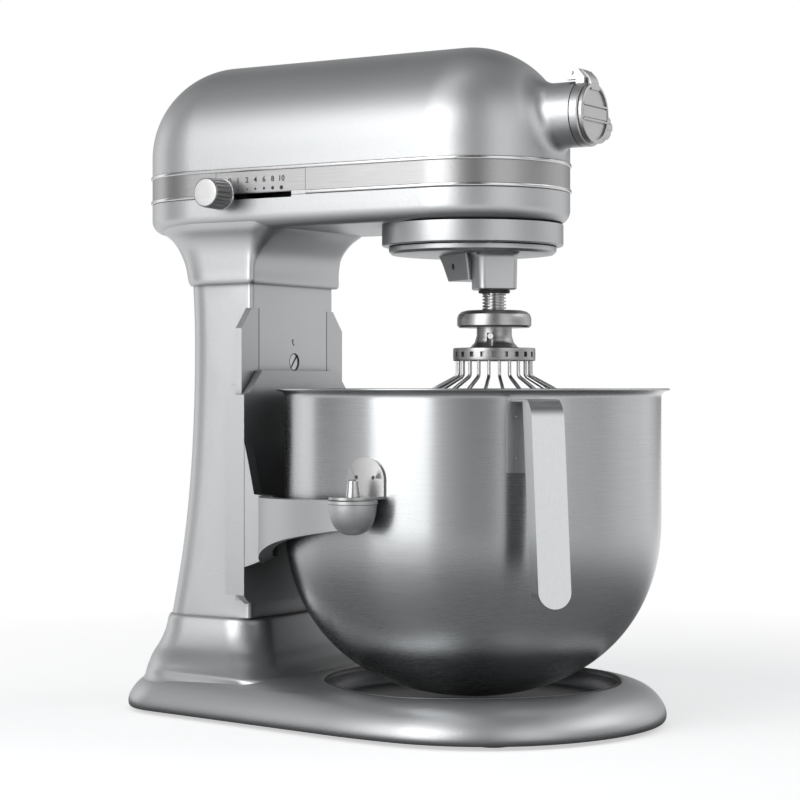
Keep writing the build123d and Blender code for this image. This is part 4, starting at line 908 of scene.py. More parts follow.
@dataclass(frozen=True)
class LowerCasing:
    """Lower shell of the head with its collar, speed slot and flaring neck."""

    plan: HeadPlan = HeadPlan()
    slot_z: Pair = (328.0, 331.8)
    collar_r: float = 58.0
    skirt_r: float = 61.0
    inside_r: float = 54.0
    floor_z: float = 310.0
    heel: float = 9.0
    # radius and height down the collar and the top of the pan, and the rows that the slot cuts
    collar: tuple[Pair, ...] = ((54.0, 347.9), (58.0, 347.9), (58.0, 340.0), (58.0, 331.8), (58.0, 329.5),
                                (60.7, 329.5), (61.0, 329.2), (61.0, 328.0), (61.0, 324.0))
    cut_rows: tuple[int, int] = (3, 7)
    # height, half width, front, back, front corner radius, back corner radius
    neck_rows: tuple = (
        (275.0, 51.0, 133.4, 192.9, 3.0, 23), (275.5, 51.7, 132.7, 193.6, 3.3, 24),
        (276.4, 52.0, 132.4, 193.9, 3.5, 24), (281.0, 52.0, 132.4, 195.2, 3.5, 24),
        (288.0, 52.1, 131.8, 197.3, 4, 25), (294.0, 52.4, 129.8, 200.7, 6, 27),
        (299.5, 53.2, 126.0, 205.3, 8, 31), (305.0, 55.2, 119.8, 211.2, 12, 36),
        (310.0, 58.2, 111.0, 221.0, 18, 46), (316.0, 60.0, 104.0, 231.0, 22, 56))

    def pan(self) -> tuple[Array, Array]:
        """Pan and collar: a profile carried round the head's plan, open at the speed slot.

        Returns:
            The grid, and which of its quads stay.
        """
        turn = arc(0, 90, 12)
        fillet = np.stack([self.skirt_r - self.heel + self.heel * np.cos(turn),
                           self.floor_z + self.heel - self.heel * np.sin(turn)], 1)
        floor = [(r, self.floor_z) for r in (40.0, 20.0, 0.0)]
        profile = np.concatenate([self.collar, fillet, floor])
        grid = self.plan.carry(profile)
        inside = self.plan.left_between(*self.plan.slot)
        both = inside & np.roll(inside, -1)
        rows = np.arange(len(profile) - 1)
        gone = ((rows >= self.cut_rows[0]) & (rows < self.cut_rows[1]))[:, None] & both[None]
        return grid, ~gone

    def neck(self) -> Array:
        """Neck: rounded four-sided outlines stacked upwards, their sizes a smooth curve of height.

        Returns:
            Grid of points whose rows are loops, closed at both ends.
        """
        table = through(np.array(self.neck_rows, float), 34)
        grid = stacked([(z, w, y0, w, y1, front, back) for z, w, y0, y1, front, back in table], 10, 12)
        cap, top = (grid[i] * [0, 0, 1] + [0, STAND_Y, 0] for i in ([0], [-1]))
        return np.concatenate([cap, grid, top])

    def slot_walls(self) -> list[Array]:
        """Floor, ceiling and ends of the speed slot.

        Returns:
            One grid for each wall.
        """
        y0, y1 = self.plan.slot
        z0, z1 = self.slot_z
        y = np.linspace(y0, y1, 6)[None]
        x = np.array([-self.skirt_r, -self.collar_r, -self.inside_r])[:, None]
        flat = [np.stack(np.broadcast_arrays(x[k:], y, np.array(z)), -1) for k, z in ((0, z0), (1, z1))]
        z = np.array([z0, z1])[None]
        ends = [np.stack(np.broadcast_arrays(x, np.array(v), z), -1) for v in (y0, y1)]
        return flat + ends

    def build(self, finishes: Finishes) -> None:
        """Make the pan, the neck and the lining of the speed slot.

        Args:
            finishes: every finish of the mixer.
        """
        grid, keep = self.pan()
        for piece in (Form("lower_shell").patch(grid, loop=True, keep=keep).build(),
                      Form("neck").patch(self.neck(), loop=True).build(Edge.CAST)):
            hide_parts("lower_casing")
            dress(piece, finishes, "cast_paint", "stand")
        walls = Form("speed_slot_lining")
        for wall in self.slot_walls():
            walls.patch(wall)
        dress(walls.build(), finishes, "dark_plastic", "stand")


@dataclass(frozen=True)
class TrimBand:
    """Bright belt between the shells: two beads with a brushed flat between them."""

    plan: HeadPlan = HeadPlan()
    low: float = 329.55
    high: float = 347.95
    bead: float = 2.35
    proud: float = 0.9
    face: float = 61.0
    thick: float = 2.9
    recess: float = 0.85
    flush: float = 0.02
    under: float = 0.2

    def build(self, finishes: Finishes) -> None:
        """Make the two beads, which stop at the speed slot, and the flat with its bay for the scale.

        Args:
            finishes: every finish of the mixer.
        """
        half = arc(-90, 90, 13)
        swell = self.face + self.proud * np.sqrt(np.cos(half).clip(0))
        bead = np.stack([swell, self.bead / 2 * np.sin(half)], 1)
        inner = self.face - self.thick
        back = np.array([(inner, self.bead / 2), (inner, -self.bead / 2)])
        loop = np.concatenate([bead, back, bead[:1]])
        lower = self.plan.carry(loop + [0, self.low + self.bead / 2])
        scale, slot = (self.plan.left_between(*span) for span in (self.plan.scale, self.plan.slot))
        lower[:, scale, 0] = np.maximum(lower[:, scale, 0], self.flush - self.face)
        keep = ~np.broadcast_to((slot & np.roll(slot, -1))[None], (len(loop) - 1, len(slot)))
        upper = self.plan.carry(loop + [0, self.high - self.bead / 2])
        beads = Form("trim_beads").patch(lower, loop=True, keep=keep).patch(upper, loop=True)
        for column in np.flatnonzero(slot)[[0, -1]]:
            end = lower[:-1, column]
            beads.patch(np.stack([end, np.broadcast_to(end.mean(0), end.shape)]), loop=True)
        piece = beads.build()
        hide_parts("trim_band")
        dress(piece, finishes, "bright_trim", "stand")
        z0, z1 = self.low + self.bead - self.under, self.high - self.bead + self.under
        edges = np.array([(inner, z0), (self.face, z0), (self.face, (z0 + z1) / 2), (self.face, z1),
                          (inner, z1), (inner, z0)])
        flat = self.plan.carry(edges)
        flat[1:4, scale, 0] += self.recess
        belt = Form("trim_flat").patch(flat, loop=True).build()
        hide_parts("trim_band")
        dress(belt, finishes, "scale_metal", "stand")


@dataclass(frozen=True)
class SpeedControl:
    """Speed scale, its figures and dots, and the fluted knob that slides under it."""

    x: float = -61.12
    figures: tuple = (("0", 143.0), ("1", 136.6), ("2", 129.6), ("4", 123.1), ("6", 116.5), ("8", 109.9),
                      ("10", 103.2))
    figure_z: float = 338.4
    figure_h: float = 3.6
    # type size for each millimetre of height, and the ink's thickness and spread
    type_size: float = 1.35
    ink: Pair = (0.02, 0.1)
    dots: tuple = (0.3, 0.42, 0.56, 0.78, 0.9, 1.12, 1.35)
    dot_z: float = 334.2
    dot_h: float = 0.05
    knob: tuple[float, float, float] = (-70.0, 144.0, 331.0)
    around: int = 320
    flutes: int = 10
    flute_depth: float = 0.075
    flute_sharpness: int = 8
    # height where the flutes begin and end, and the height over which they fade there
    flute_foot: Pair = (1.2, 1.0)
    flute_head: Pair = (15.4, 1.2)
    rim_foot: tuple[Pair, ...] = ((0, 0), (0, 9.3), (0.4, 9.68), (1.0, 9.8))
    rim_side: tuple[Pair, Pair] = ((1.4, 9.78), (14.6, 9.34))
    rim_head: tuple[Pair, ...] = ((15.2, 9.26), (15.8, 9.08), (16.15, 8.84), (16.33, 8.5), (16.35, 8.1))
    disc: tuple[Pair, ...] = ((0, 16.38), (4, 16.38), (8.0, 16.38), (8.3, 16.36), (8.4, 16.3), (8.4, 15.6))

    def figure(self, text: str, y: float) -> bpy.types.Object:
        """One printed figure, turned to face the side of the head.

        Args:
            text: the figure.
            y: where it stands along the head.

        Returns:
            The piece.
        """
        curve = bpy.data.curves.new(f"figure_{text}", "FONT")
        curve.body, curve.align_x = text, "CENTER"
        curve.size = self.figure_h * self.type_size * MM
        curve.extrude, curve.offset = self.ink[0] * MM, self.ink[1] * MM
        flat = bpy.data.objects.new(f"figure_{text}", curve)
        bpy.context.scene.collection.objects.link(flat)
        bpy.context.view_layer.update()
        mesh = bpy.data.meshes.new_from_object(flat.evaluated_get(bpy.context.evaluated_depsgraph_get()))
        bpy.data.objects.remove(flat)
        co = read(mesh.vertices, "co", np.float32)
        place = np.array([self.x, y, self.figure_z]) * MM
        turned = np.stack([-co[:, 2], -co[:, 0], co[:, 1]], 1) + place
        mesh.vertices.foreach_set("co", turned.astype(np.float32).ravel())
        piece = bpy.data.objects.new(f"figure_{text}", mesh)
        bpy.context.scene.collection.objects.link(piece)
        return piece

    def build(self, finishes: Finishes) -> None:
        """Make the scale, its print and the knob.

        Args:
            finishes: every finish of the mixer.
        """
        dress(copied("speed_scale", ["speed_plate"], bevel=0.15), finishes, "scale_metal", "stand")
        for text, y in self.figures:
            dress(self.figure(text, y), finishes, "print_ink", "stand")
        marks = Form("speed_dots")
        for (_, y), r in zip(self.figures, self.dots):
            h = self.dot_h
            dot = lathe(np.array([(0, 0.0), (r, 0.0), (r, h * 0.6), (r * 0.8, h), (0, h)]), 16)
            marks.patch(facing(dot, (-1, 0, 0), (0, 0, 1), (self.x + 0.06, y, self.dot_z)), loop=True)
        dress(marks.build(), finishes, "print_ink", "stand")
        self.build_knob(finishes)
        dress(copied("speed_arm", ["speed_lever"], bevel=0.2), finishes, "dark_plastic", "speed")

    def build_knob(self, finishes: Finishes) -> None:
        """Knob: a turned body of radius r(h) (1 - d cos^8(n a)), where d fades out at both ends.

        Args:
            finishes: every finish of the mixer.
        """
        rows = np.concatenate([self.rim_foot, np.linspace(*self.rim_side, 20), self.rim_head])
        h, r = rows[:, :1], rows[:, 1:]
        a = np.arange(self.around) * 2 * math.pi / self.around
        (low, over), (high, under) = self.flute_foot, self.flute_head
        fade = np.clip((h - low) / over, 0, 1) * np.clip((high - h) / under, 0, 1)
        r = r * (1 - self.flute_depth * fade * np.cos(self.flutes * a) ** self.flute_sharpness)
        rim = np.stack([r * np.cos(a), r * np.sin(a), h + 0 * a], -1)
        face = lathe(np.array(self.disc), 96)
        for part, grid, edge in (("rim", rim, Edge.CAST), ("face", face, Edge.TURNED)):
            form = Form(f"speed_knob_{part}").patch(facing(grid, (-1, 0, 0), (0, 0, 1), self.knob), loop=True)
            piece = form.build(edge)
            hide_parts("speed_knob")
            dress(piece, finishes, f"knob_{part}", "speed")
        dress(copied("speed_knob_ring", ["knob_ring"], bevel=0.2), finishes, "bright_trim", "speed")


@dataclass(frozen=True)
class HubFront:
    """Mouth of the attachment hub: flange, hinged cover and clamping screw."""

    fittings: tuple[Fitting, ...] = (
        Fitting("hub_mouth", "hub_flange", "cover_metal", "stand", "bright_trim"),
        Fitting("hub_cover_plate", "hub_cover", "cover_metal", "cover", "bright_trim"),
        Fitting("hub_hinge_pin", "hinge_pin", "zinc_steel", "stand"),
        Fitting("hub_clamp_screw", "hub_thumbscrew", "cover_metal", "clamp", "bright_trim"))

    def build(self, finishes: Finishes) -> None:
        """Dress the fittings."""
        for fitting in self.fittings:
            fitting.build(finishes)


# ---- stand -------------------------------------------------------------------------------
@dataclass(frozen=True)
class BasePlan:
    """Plan of the base: nose arc, shoulder arc, flank arc, straight side, rear corner and rear."""

    nose_y: float = -120.0
    arcs: tuple[Pair, ...] = ((128.0, 35.0), (101.0, 55.0), (321.0, 9.3))
    corner: Pair = (40.3, 180.0)
    corner_r: float = 48.0
    step: float = 1.6

    @cached_property
    def line(self) -> tuple[Array, Array]:
        """Closed outline, anticlockwise from the middle of the nose.

        Each arc point is centre + R (sin h, -cos h) for the heading h, and the outward direction
        is (sin h, -cos h); the left half is the right half mirrored.

        Returns:
            Two (n, 2) arrays: points and unit outward directions.
        """
        place, heading = np.array([0.0, self.nose_y]), 0.0
        points, outward = [], []
        for radius, turn in self.arcs:
            stop = heading + math.radians(turn)
            h = np.linspace(heading, stop, max(int(radius * (stop - heading) / self.step), 8))[:-1]
            centre = place - radius * self.out(heading)
            points.append(centre + radius * self.out(h))
            outward.append(self.out(h))
            place, heading = centre + radius * self.out(stop), stop
        end = self.corner + self.corner_r * self.out(heading)
        t = np.linspace(0, 1, 24)[:-1, None]
        points.append(place * (1 - t) + end * t)
        outward.append(np.broadcast_to(self.out(heading), (23, 2)))
        h = np.linspace(heading, math.pi, 34)
        points.append(self.corner + self.corner_r * self.out(h))
        outward.append(self.out(h))
        rear = np.linspace(self.corner[0], 0, 12)[1:]
        points.append(np.stack([rear, np.full(11, self.corner[1] + self.corner_r)], 1))
        outward.append(np.broadcast_to([0.0, 1.0], (11, 2)))
        p, n = np.concatenate(points), np.concatenate(outward)
        flip = np.array([-1.0, 1.0])
        return np.concatenate([p, p[::-1][1:-1] * flip]), np.concatenate([n, n[::-1][1:-1] * flip])

    @staticmethod
    def out(heading: Array | float) -> Array:
        """Outward direction at a heading, or at each of many."""
        return np.stack([np.sin(heading), -np.cos(heading)], -1)

    def inset_of(self, places: Array) -> Array:
        """Distance from each of many places to the outline.

        Args:
            places: x and y of each place, in the last axis.

        Returns:
            One distance for each place.
        """
        blocks = np.array_split(places.reshape(-1, 1, 2), 40)
        near = [np.linalg.norm(block - self.line[0][None], axis=2).min(1) for block in blocks]
        return np.concatenate(near).reshape(places.shape[:-1])


@dataclass(frozen=True)
class BaseCasting:
    """Cast foot: rolled rim, dished seat for the bowl and flared pedestal."""

    # inset from the outline and height
    rim: tuple = ((0.8, 2.5), (0.3, 3.3), (0.0, 4.6), (0.5, 8.5), (3.4, 14.0), (8.6, 19.4), (15.5, 23.2),
                  (22.5, 25.4), (29.0, 26.45), (37.0, 26.7), (60.0, 26.7))
    # radius and drop below the plateau
    dish: tuple = ((94.4, 0.0), (93.3, -0.25), (92.5, -0.9), (92.1, -1.9), (92.0, -3.4))
    # radius and height
    seat: tuple = ((91.9, 20.4), (91.2, 18.0), (90.4, 16.3), (89.0, 14.7), (87.2, 13.85), (85.0, 13.5),
                   (70.0, 13.5), (40.0, 13.5), (0.0, 13.5))
    # inset up to which the rows follow the outline, and the height above which the rim turns inwards
    rolled: float = 9.0
    shoulder_z: float = 10.0
    # inset and height that part the underside's pockets from the outer faces
    pocket_inset: float = 8.5
    pocket_z: float = 3.0
    # height, front half width, front, rear half width, rear, front corner radius, rear corner radius
    pedestal: tuple = (
        (6.0, 84.6, 95.3, 80.0, 221.5, 20, 41.5), (14.0, 84.6, 95.3, 79.5, 221, 21, 41),
        (18.0, 84.6, 95.3, 78.0, 219.6, 21, 39.6), (19.4, 84.6, 95.4, 77.2, 218.9, 21, 38.9),
        (20.4, 84.5, 95.5, 76.0, 217.9, 21, 37.9), (21.4, 84.6, 95.8, 74.8, 217.8, 21.5, 37.8),
        (23.0, 84.8, 96.6, 73.2, 217.6, 22, 37.6), (25.4, 85.0, 99.0, 71.8, 217.5, 22, 37.6),
        (26.8, 84.2, 101.6, 71.4, 217.4, 22, 37.6), (27.9, 82.0, 104.4, 71.3, 217.3, 22, 37.6),
        (29.4, 78.8, 108.0, 71.1, 217.2, 22, 37.4), (31.8, 75.0, 112.0, 70.4, 217.1, 22, 37),
        (35.8, 70.3, 116, 66.2, 216.7, 22, 34.5),
        (40.2, 65.2, 120.2, 61.2, 215, 22, 31), (45.0, 61.2, 123.5, 58.5, 213, 22, 29),
        (50.0, 58.1, 126.2, 56.4, 211.7, 22, 28), (54.6, 56.0, 128.2, 55, 210.8, 22, 27),
        (57.8, 54.9, 129.4, 54.2, 210.2, 22, 26), (59.6, 54.2, 130.2, 53.5, 209.5, 21, 25.5),
        (60.6, 53.3, 131.1, 52.7, 208.7, 21, 25), (61.0, 52.0, 132.3, 51.5, 207.7, 20, 24))

    def top(self) -> Array:
        """Rim, plateau and dish in one grid.

        The outer rows follow the outline at a fixed inset; the next rows run straight from there
        to the dish's edge at the height the rim's profile gives for their distance from the
        outline; the last rows are turned about the bowl axis.

        Returns:
            Grid of points, rows from the underside inwards.
        """
        plan = BasePlan()
        points, outward = plan.line
        profile = through(np.array(self.rim), 400)
        outer = profile[profile[:, 0] < self.rolled][::8]
        rows = [np.column_stack([points - outward * inset, np.full(len(points), z)]) for inset, z in outer]
        angle = np.unwrap(np.arctan2(points[:, 1], points[:, 0]))
        unit = np.stack([np.cos(angle), np.sin(angle)], 1)
        begin, end = rows[-1][:, :2], unit * self.dish[0][0]
        upper = profile[int(np.argmax(profile[:, 1] > self.shoulder_z)):]
        t = np.linspace(0, 1, 26)[1:, None, None]
        flat = begin * (1 - t) + end * t
        height = np.interp(plan.inset_of(flat), upper[:, 0], upper[:, 1])
        rows += list(np.concatenate([flat, height[..., None]], -1))
        edge = rows[-1][:, 2]
        rows += [np.column_stack([unit * r, edge + drop]) for r, drop in self.dish[1:]]
        rows += [np.column_stack([unit * r, np.full(len(unit), z)]) for r, z in self.seat]
        return np.stack(rows)

    def stack(self) -> Array:
        """Pedestal: rounded four-sided outlines stacked upwards, their sizes a smooth curve of height.

        Returns:
            Grid of points whose rows are loops, closed at the top.
        """
        rings = stacked(through(np.array(self.pedestal, float), 70), 14, 16)
        cap = rings[-1:] * [0, 0, 1] + [0, STAND_Y, 0]
        return np.concatenate([rings, cap])

    def underside(self) -> bpy.types.Object:
        """Copy the built faces that look down or line the pockets and bores of the underside.

        Returns:
            The piece.
        """
        data = frame["nodes"]["base_casting"].data
        slope = read(data.polygons, "normal", np.float32)[:, 2]
        middle = read(data.polygons, "center", np.float32) / MM
        deep = BasePlan(step=4.0).inset_of(middle[:, :2]) > self.pocket_inset
        kept = ((slope < -0.1) & (deep | (middle[:, 2] < self.pocket_z))) | ((np.abs(slope) < 0.1) & deep)
        form = Form("base_underside").node("base_casting", kept)
        return form.build(Edge.TURNED, NODE_WELD, closed=False)

    def build(self, finishes: Finishes) -> None:
        """Make the foot's upper side, pedestal and underside, and dress the feet.

        Args:
            finishes: every finish of the mixer.
        """
        for piece in (Form("base_top").patch(self.top(), loop=True).build(Edge.CAST),
                      Form("pedestal").patch(self.stack(), loop=True).build(Edge.CAST), self.underside()):
            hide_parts("base_casting")
            dress(piece, finishes, "cast_paint", "stand")
        dress(copied("foot_pads", ["rubber_feet"]), finishes, "rubber", "stand")


@dataclass(frozen=True)
class Stand:
    """Column with its rails, screws and lift lever, and the carriage that rides on it."""

    face_y: float = 135.5
    seam_x: float = 39.5
    seam_z: Pair = (73.0, 259.6)
    seam_w: float = 0.35
    arrow_z: float = 238.6
    arrow_r: float = 2.1
    arrow_w: float = 0.48
    arrow_turn: Pair = (118, 262)
    # half width of the arrow's head, and the share of the arrow that it takes
    head_w: float = 1.15
    head_share: float = 0.34
    gap: Pair = (-0.12, 0.42)
    fittings: tuple[Fitting, ...] = (
        Fitting("column_casting", "column", "cast_paint", "stand", bevel=0.6),
        Fitting("rail_left", "slide_rail_left", "rail_metal", "stand", bevel=0.35),
        Fitting("rail_right", "slide_rail_right", "rail_metal", "stand", bevel=0.35),
        Fitting("rail_screw_heads", "rail_screws", "zinc_steel", "stand"),
        Fitting("height_screw", "adjusting_screw", "zinc_steel", "adjuster", bevel=0.2),
        Fitting("carriage_yoke", "carriage", "carriage_paint", "carriage", "cast_paint", 0.6),
        Fitting("cone_pins", "locating_pins", "zinc_steel", "carriage"),
        Fitting("latch_fork", "latch_clip", "zinc_steel", "carriage", bevel=0.25),
        Fitting("latch_screws", "clip_screws", "zinc_steel", "carriage"),
        Fitting("lever_arm", "lift_lever", "zinc_steel", "lift", bevel=0.5),
        Fitting("lever_grip", "lift_grip", "knob_plastic", "lift"),
        Fitting("lever_end_cap", "lever_cap", "dark_plastic", "lift"))

    def mark(self, name: str, centre: Pair, inner: Array, outer: Array, turn: Array) -> bpy.types.Object:
        """Flat printed band on the column's face between two radii, at each angle of its turn.

        The band's section is a thin rectangle carried round: centre + r(cos a, sin a).

        Args:
            name: name of the piece.
            centre: x and z of the turn's centre.
            inner: inner radius at each angle.
            outer: outer radius at each angle.
            turn: the angles.

        Returns:
            The piece.
        """
        r = np.stack([inner, outer, outer, inner])
        y = np.array([-0.04, -0.04, 0.02, 0.02])[:, None] + self.face_y
        x, z = centre[0] + r * np.cos(turn), centre[1] + r * np.sin(turn)
        grid = np.stack(np.broadcast_arrays(x, y, z), -1)
        return Form(name).patch(capped(grid.transpose(1, 0, 2)), loop=True).build()

    def print_marks(self, finishes: Finishes) -> None:
        """Curved arrow over the height screw, the shadow gap round the screw and the rails' seams.

        Args:
            finishes: every finish of the mixer.
        """
        low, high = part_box("adjusting_screw")
        middle = ((low[0] + high[0]) / 2 / MM, (low[2] + high[2]) / 2 / MM)
        reach = (high[0] - low[0]) / 2 / MM
        ring = arc(0, 360, 73)
        inner, outer = (0 * ring + reach + step for step in self.gap)
        marks = [self.mark("height_screw_gap", middle, inner, outer, ring)]
        head = np.clip((np.linspace(1, 0, 30) - (1 - self.head_share)) / self.head_share, 0, 1)
        width = np.where(head > 0, self.head_w * (1 - head) + 0.02, self.arrow_w)
        marks.append(self.mark("turn_arrow", (middle[0], self.arrow_z), self.arrow_r - width,
                               self.arrow_r + width, arc(*self.arrow_turn, 30)))
        for side, name in ((-1, "left"), (1, "right")):
            x = np.array([-1, 1, 1, -1, -1]) * self.seam_w + side * self.seam_x
            y = np.array([-0.03, -0.03, 0.02, 0.02, -0.03]) + self.face_y
            z = np.linspace(*self.seam_z, 24)[:, None]
            grid = capped(np.stack(np.broadcast_arrays(x, y, z), -1))
            marks.append(Form(f"rail_seam_{name}").patch(grid).build())
        for piece in marks:
            dress(piece, finishes, "print_ink", "stand")

    def build(self, finishes: Finishes) -> None:
        """Print the marks and dress the fittings."""
        self.print_marks(finishes)
        for fitting in self.fittings:
            fitting.build(finishes)


# ---- bowl --------------------------------------------------------------------------------
@dataclass(frozen=True)
class Bowl:
    """Spun steel bowl with its rolled lip, brackets, stud and folded handle."""

    radius: float = 117.5
    wall: float = 1.4
    floor: float = 17.0
    knee: float = 128.0
    power: float = 2 / 2.2
    lip: tuple[Pair, ...] = (
        (117.5, 202.4), (117.65, 203.6), (118.5, 205.2), (120.2, 206.2), (121.8, 206.5), (122.7, 206.9),
        (122.85, 207.5), (122.2, 208.0), (120.8, 207.9), (119.2, 207.45), (117.6, 206.4), (116.5, 204.9),
        (116.1, 203.2))
    fittings: tuple[Fitting, ...] = (
        Fitting("bowl_side_brackets", "bowl_brackets", "bracket_steel", "bowl", "bowl_steel", 0.3),
        Fitting("bowl_grip", "bowl_handle", "handle_steel", "bowl", "bowl_steel", 0.4),
        Fitting("grip_weld_plate", "handle_weld_plate", "handle_steel", "bowl", "bowl_steel"),
        Fitting("back_stud", "rear_stud", "zinc_steel", "bowl"))

    def side(self, inset: float) -> Array:
        """Side below the knee, as (r, z) rows: r = R sin(a)^p, z = knee - (knee - floor) cos(a)^p.

        Args:
            inset: how far inside the outer face.

        Returns:
            (n, 2) points from the bottom to the knee.
        """
        a = arc(0, 90, 64)
        r = (self.radius - inset) * np.sin(a) ** self.power
        drop = (self.knee - self.floor - inset) * np.cos(a).clip(0) ** self.power
        return np.stack([r, self.knee - drop], 1)

    def build(self, finishes: Finishes) -> None:
        """Turn the bowl and dress its fittings.

        Args:
            finishes: every finish of the mixer.
        """
        up = np.stack([np.full(12, self.radius), np.linspace(self.knee + 5, 201.5, 12)], 1)
        down = np.stack([np.full(12, self.radius - self.wall), np.linspace(202.0, self.knee + 5, 12)], 1)
        lip = through(np.array(self.lip), 40)
        profile = np.concatenate([self.side(0.0), up, lip, down, self.side(self.wall)[::-1]])
        shell = Form("bowl_spun").patch(lathe(profile, 256), loop=True).build(Edge.SOFT)
        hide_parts("bowl_shell")
        dress(shell, finishes, "bowl_steel", "bowl")
        for fitting in self.fittings:
            fitting.build(finishes)


# ---- drive and whisk ---------------------------------------------------------------------
@dataclass(frozen=True)
class Planetary:
    """Drum under the nose, the turning housing and the beater shaft's fittings."""

    axis: Pair = BEATER_AXIS
    drum: tuple[Pair, ...] = (
        (25, 305.0), (49.9, 305.0), (50.0, 297.2), (50.6, 296.6), (55.4, 296.6), (56.2, 296.8),
        (56.7, 297.4), (56.8, 298.2), (56.8, 309.95), (25, 309.95), (25, 305.0))
    washer: tuple[Pair, ...] = ((6.05, 266.4), (9.2, 266.4), (9.6, 266.7), (9.7, 267.3), (9.6, 267.9),
                                (9.2, 268.2), (6.05, 268.2), (6.05, 266.4))
    coil_r: float = 6.9
    coil_wire: float = 0.5
    coil_z: Pair = (256.75, 265.75)
    coil_turns: float = 4.5
    coil_ease: float = 0.5

    def build(self, finishes: Finishes) -> None:
        """Make the drum, washer and spring, and dress the rest.

        Args:
            finishes: every finish of the mixer.
        """
        seat = Form("drum_ring").patch(lathe(np.array(self.drum), 192), loop=True).build()
        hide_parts("drum")
        dress(seat, finishes, "planet_alloy", "stand")
        dress(copied("planet_housing", ["planetary_housing"]), finishes, "planet_alloy", "planetary")
        dress(copied("cross_pin", ["retaining_pin"]), finishes, "machined", "planetary")
        dress(copied("drive_shaft", ["beater_shaft"], bevel=0.3), finishes, "machined", "beater")
        dress(copied("shaft_drive_pin", ["beater_drive_pin"]), finishes, "machined", "beater")
        pad = Form("boss_washer").patch(lathe(np.array(self.washer), 64, self.axis), loop=True).build()
        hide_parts("shaft_washer")
        dress(pad, finishes, "rubber", "beater")
        self.spring(finishes)

    def spring(self, finishes: Finishes) -> None:
        """Coil spring: a helix that stays level over its first and last half turn.

        Args:
            finishes: every finish of the mixer.
        """
        wind = np.linspace(0, self.coil_turns + 2 * self.coil_ease, 420)
        rise = np.clip(wind - self.coil_ease, 0, self.coil_turns) / self.coil_turns
        a, (low, high) = wind * 2 * math.pi, self.coil_z
        path = np.stack([self.axis[0] + self.coil_r * np.cos(a), self.axis[1] + self.coil_r * np.sin(a),
                         low + rise * (high - low)], 1)
        coil = tube(path, self.coil_wire, np.array([0, 0, 1.0]), 10)
        piece = Form("push_spring").patch(capped(coil), loop=True).build(Edge.SOFT)
        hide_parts("shaft_spring")
        finishes.put(piece, "wire_steel")
        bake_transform(piece)


@dataclass(frozen=True)
class Whisk:
    """Wire whisk: machined hub, crown ring and eleven crossing loops."""

    axis: Pair = BEATER_AXIS
    loops: int = 11
    wire: float = 0.95
    rise: float = 1.8
    corners: tuple = ((22.6, 224.8), (22.6, 215.6), (40.6, 206.0), (54.5, 163.0), (50.5, 73.4))
    radii: tuple = (3.0, 14.0, 60.0, 41.0)
    phase: float = 0.275
    crown: tuple[Pair, ...] = (
        (17.5, 224.9), (24.7, 224.9), (25.15, 225.2), (25.25, 225.8), (25.25, 227.1), (25.25, 227.2),
        (25.25, 227.3), (25.25, 230.3), (25.25, 230.4), (25.25, 230.5), (25.25, 231.8),
        (25.1, 232.5), (24.6, 232.8), (17.5, 232.8), (17.5, 224.9))
    window_z: Pair = (227.25, 230.35)
    window_in: float = 0.90
    window_r: float = 25.0
    window_share: float = 0.45

    def half(self, lift: float) -> Array:
        """Half of a loop as (r, z): straight lines joined by arcs, ending at the middle.

        Args:
            lift: how far this loop's foot stands above the lowest one.

        Returns:
            (n, 2) points from the crown to the middle of the foot.
        """
        p = np.array([*self.corners, (0.0, self.corners[-1][1])])
        p[-2:, 1] += lift
        out = [p[:1]]
        for i, radius in enumerate(self.radii, start=1):
            u, v = p[i - 1] - p[i], p[i + 1] - p[i]
            u, v = u / np.linalg.norm(u), v / np.linalg.norm(v)
            half = math.acos(float(np.clip(u @ v, -1, 1))) / 2
            mid = (u + v) / np.linalg.norm(u + v)
            centre, reach = p[i] + mid * radius / math.sin(half), radius / math.tan(half)
            a, b = p[i] + u * reach - centre, p[i] + v * reach - centre
            sweep = math.pi - 2 * half
            t = np.linspace(0, 1, max(int(radius * sweep / 2.5), 6))[:, None]
            out.append(centre + (np.sin((1 - t) * sweep) * a + np.sin(t * sweep) * b) / math.sin(sweep))
        out.append(p[-1:])
        points = np.concatenate(out)
        step = np.concatenate([[0], np.cumsum(np.linalg.norm(np.diff(points, axis=0), axis=1))])
        s = np.linspace(0, step[-1], 110)
        return np.stack([np.interp(s, step, points[:, 0]), np.interp(s, step, points[:, 1])], 1)

    def build(self, finishes: Finishes) -> None:
        """Wind the loops, turn the crown ring with its windows pushed in, and dress the hub.

        Args:
            finishes: every finish of the mixer.
        """
        wires = Form("whisk_loops")
        for i in range(self.loops):
            a = math.pi / self.loops * (i + self.phase)
            out = np.array([math.cos(a), math.sin(a), 0.0])
            side = np.array([-math.sin(a), math.cos(a), 0.0])
            half = self.half(self.rise * i)
            flat = np.concatenate([half, half[::-1][1:] * [-1, 1]])
            path = np.array([*self.axis, 0.0]) + flat[:, :1] * out + flat[:, 1:] * [0, 0, 1.0]
            wires.patch(tube(path, self.wire, side, 10), loop=True)
        loops = wires.build(Edge.SOFT)
        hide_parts("whisk_wires")
        dress(loops, finishes, "wire_steel", "whisk")
        grid = lathe(np.array(self.crown), 2 * self.loops * 24)
        x, y, z = np.moveaxis(grid, -1, 0)
        turn = np.arctan2(y, x) - math.pi / self.loops * (self.phase - 0.5)
        window = (np.cos(2 * self.loops * turn) > self.window_share) & (np.hypot(x, y) > self.window_r)
        window &= (z > self.window_z[0]) & (z < self.window_z[1])
        grid[..., :2] *= np.where(window, self.window_in, 1.0)[..., None]
        ring = Form("crown_ring").patch(grid + [*self.axis, 0], loop=True).build()
        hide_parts("whisk_wires")
        dress(ring, finishes, "whisk_alloy", "whisk")
        dress(copied("whisk_boss", ["whisk_hub"]), finishes, "whisk_alloy", "whisk")


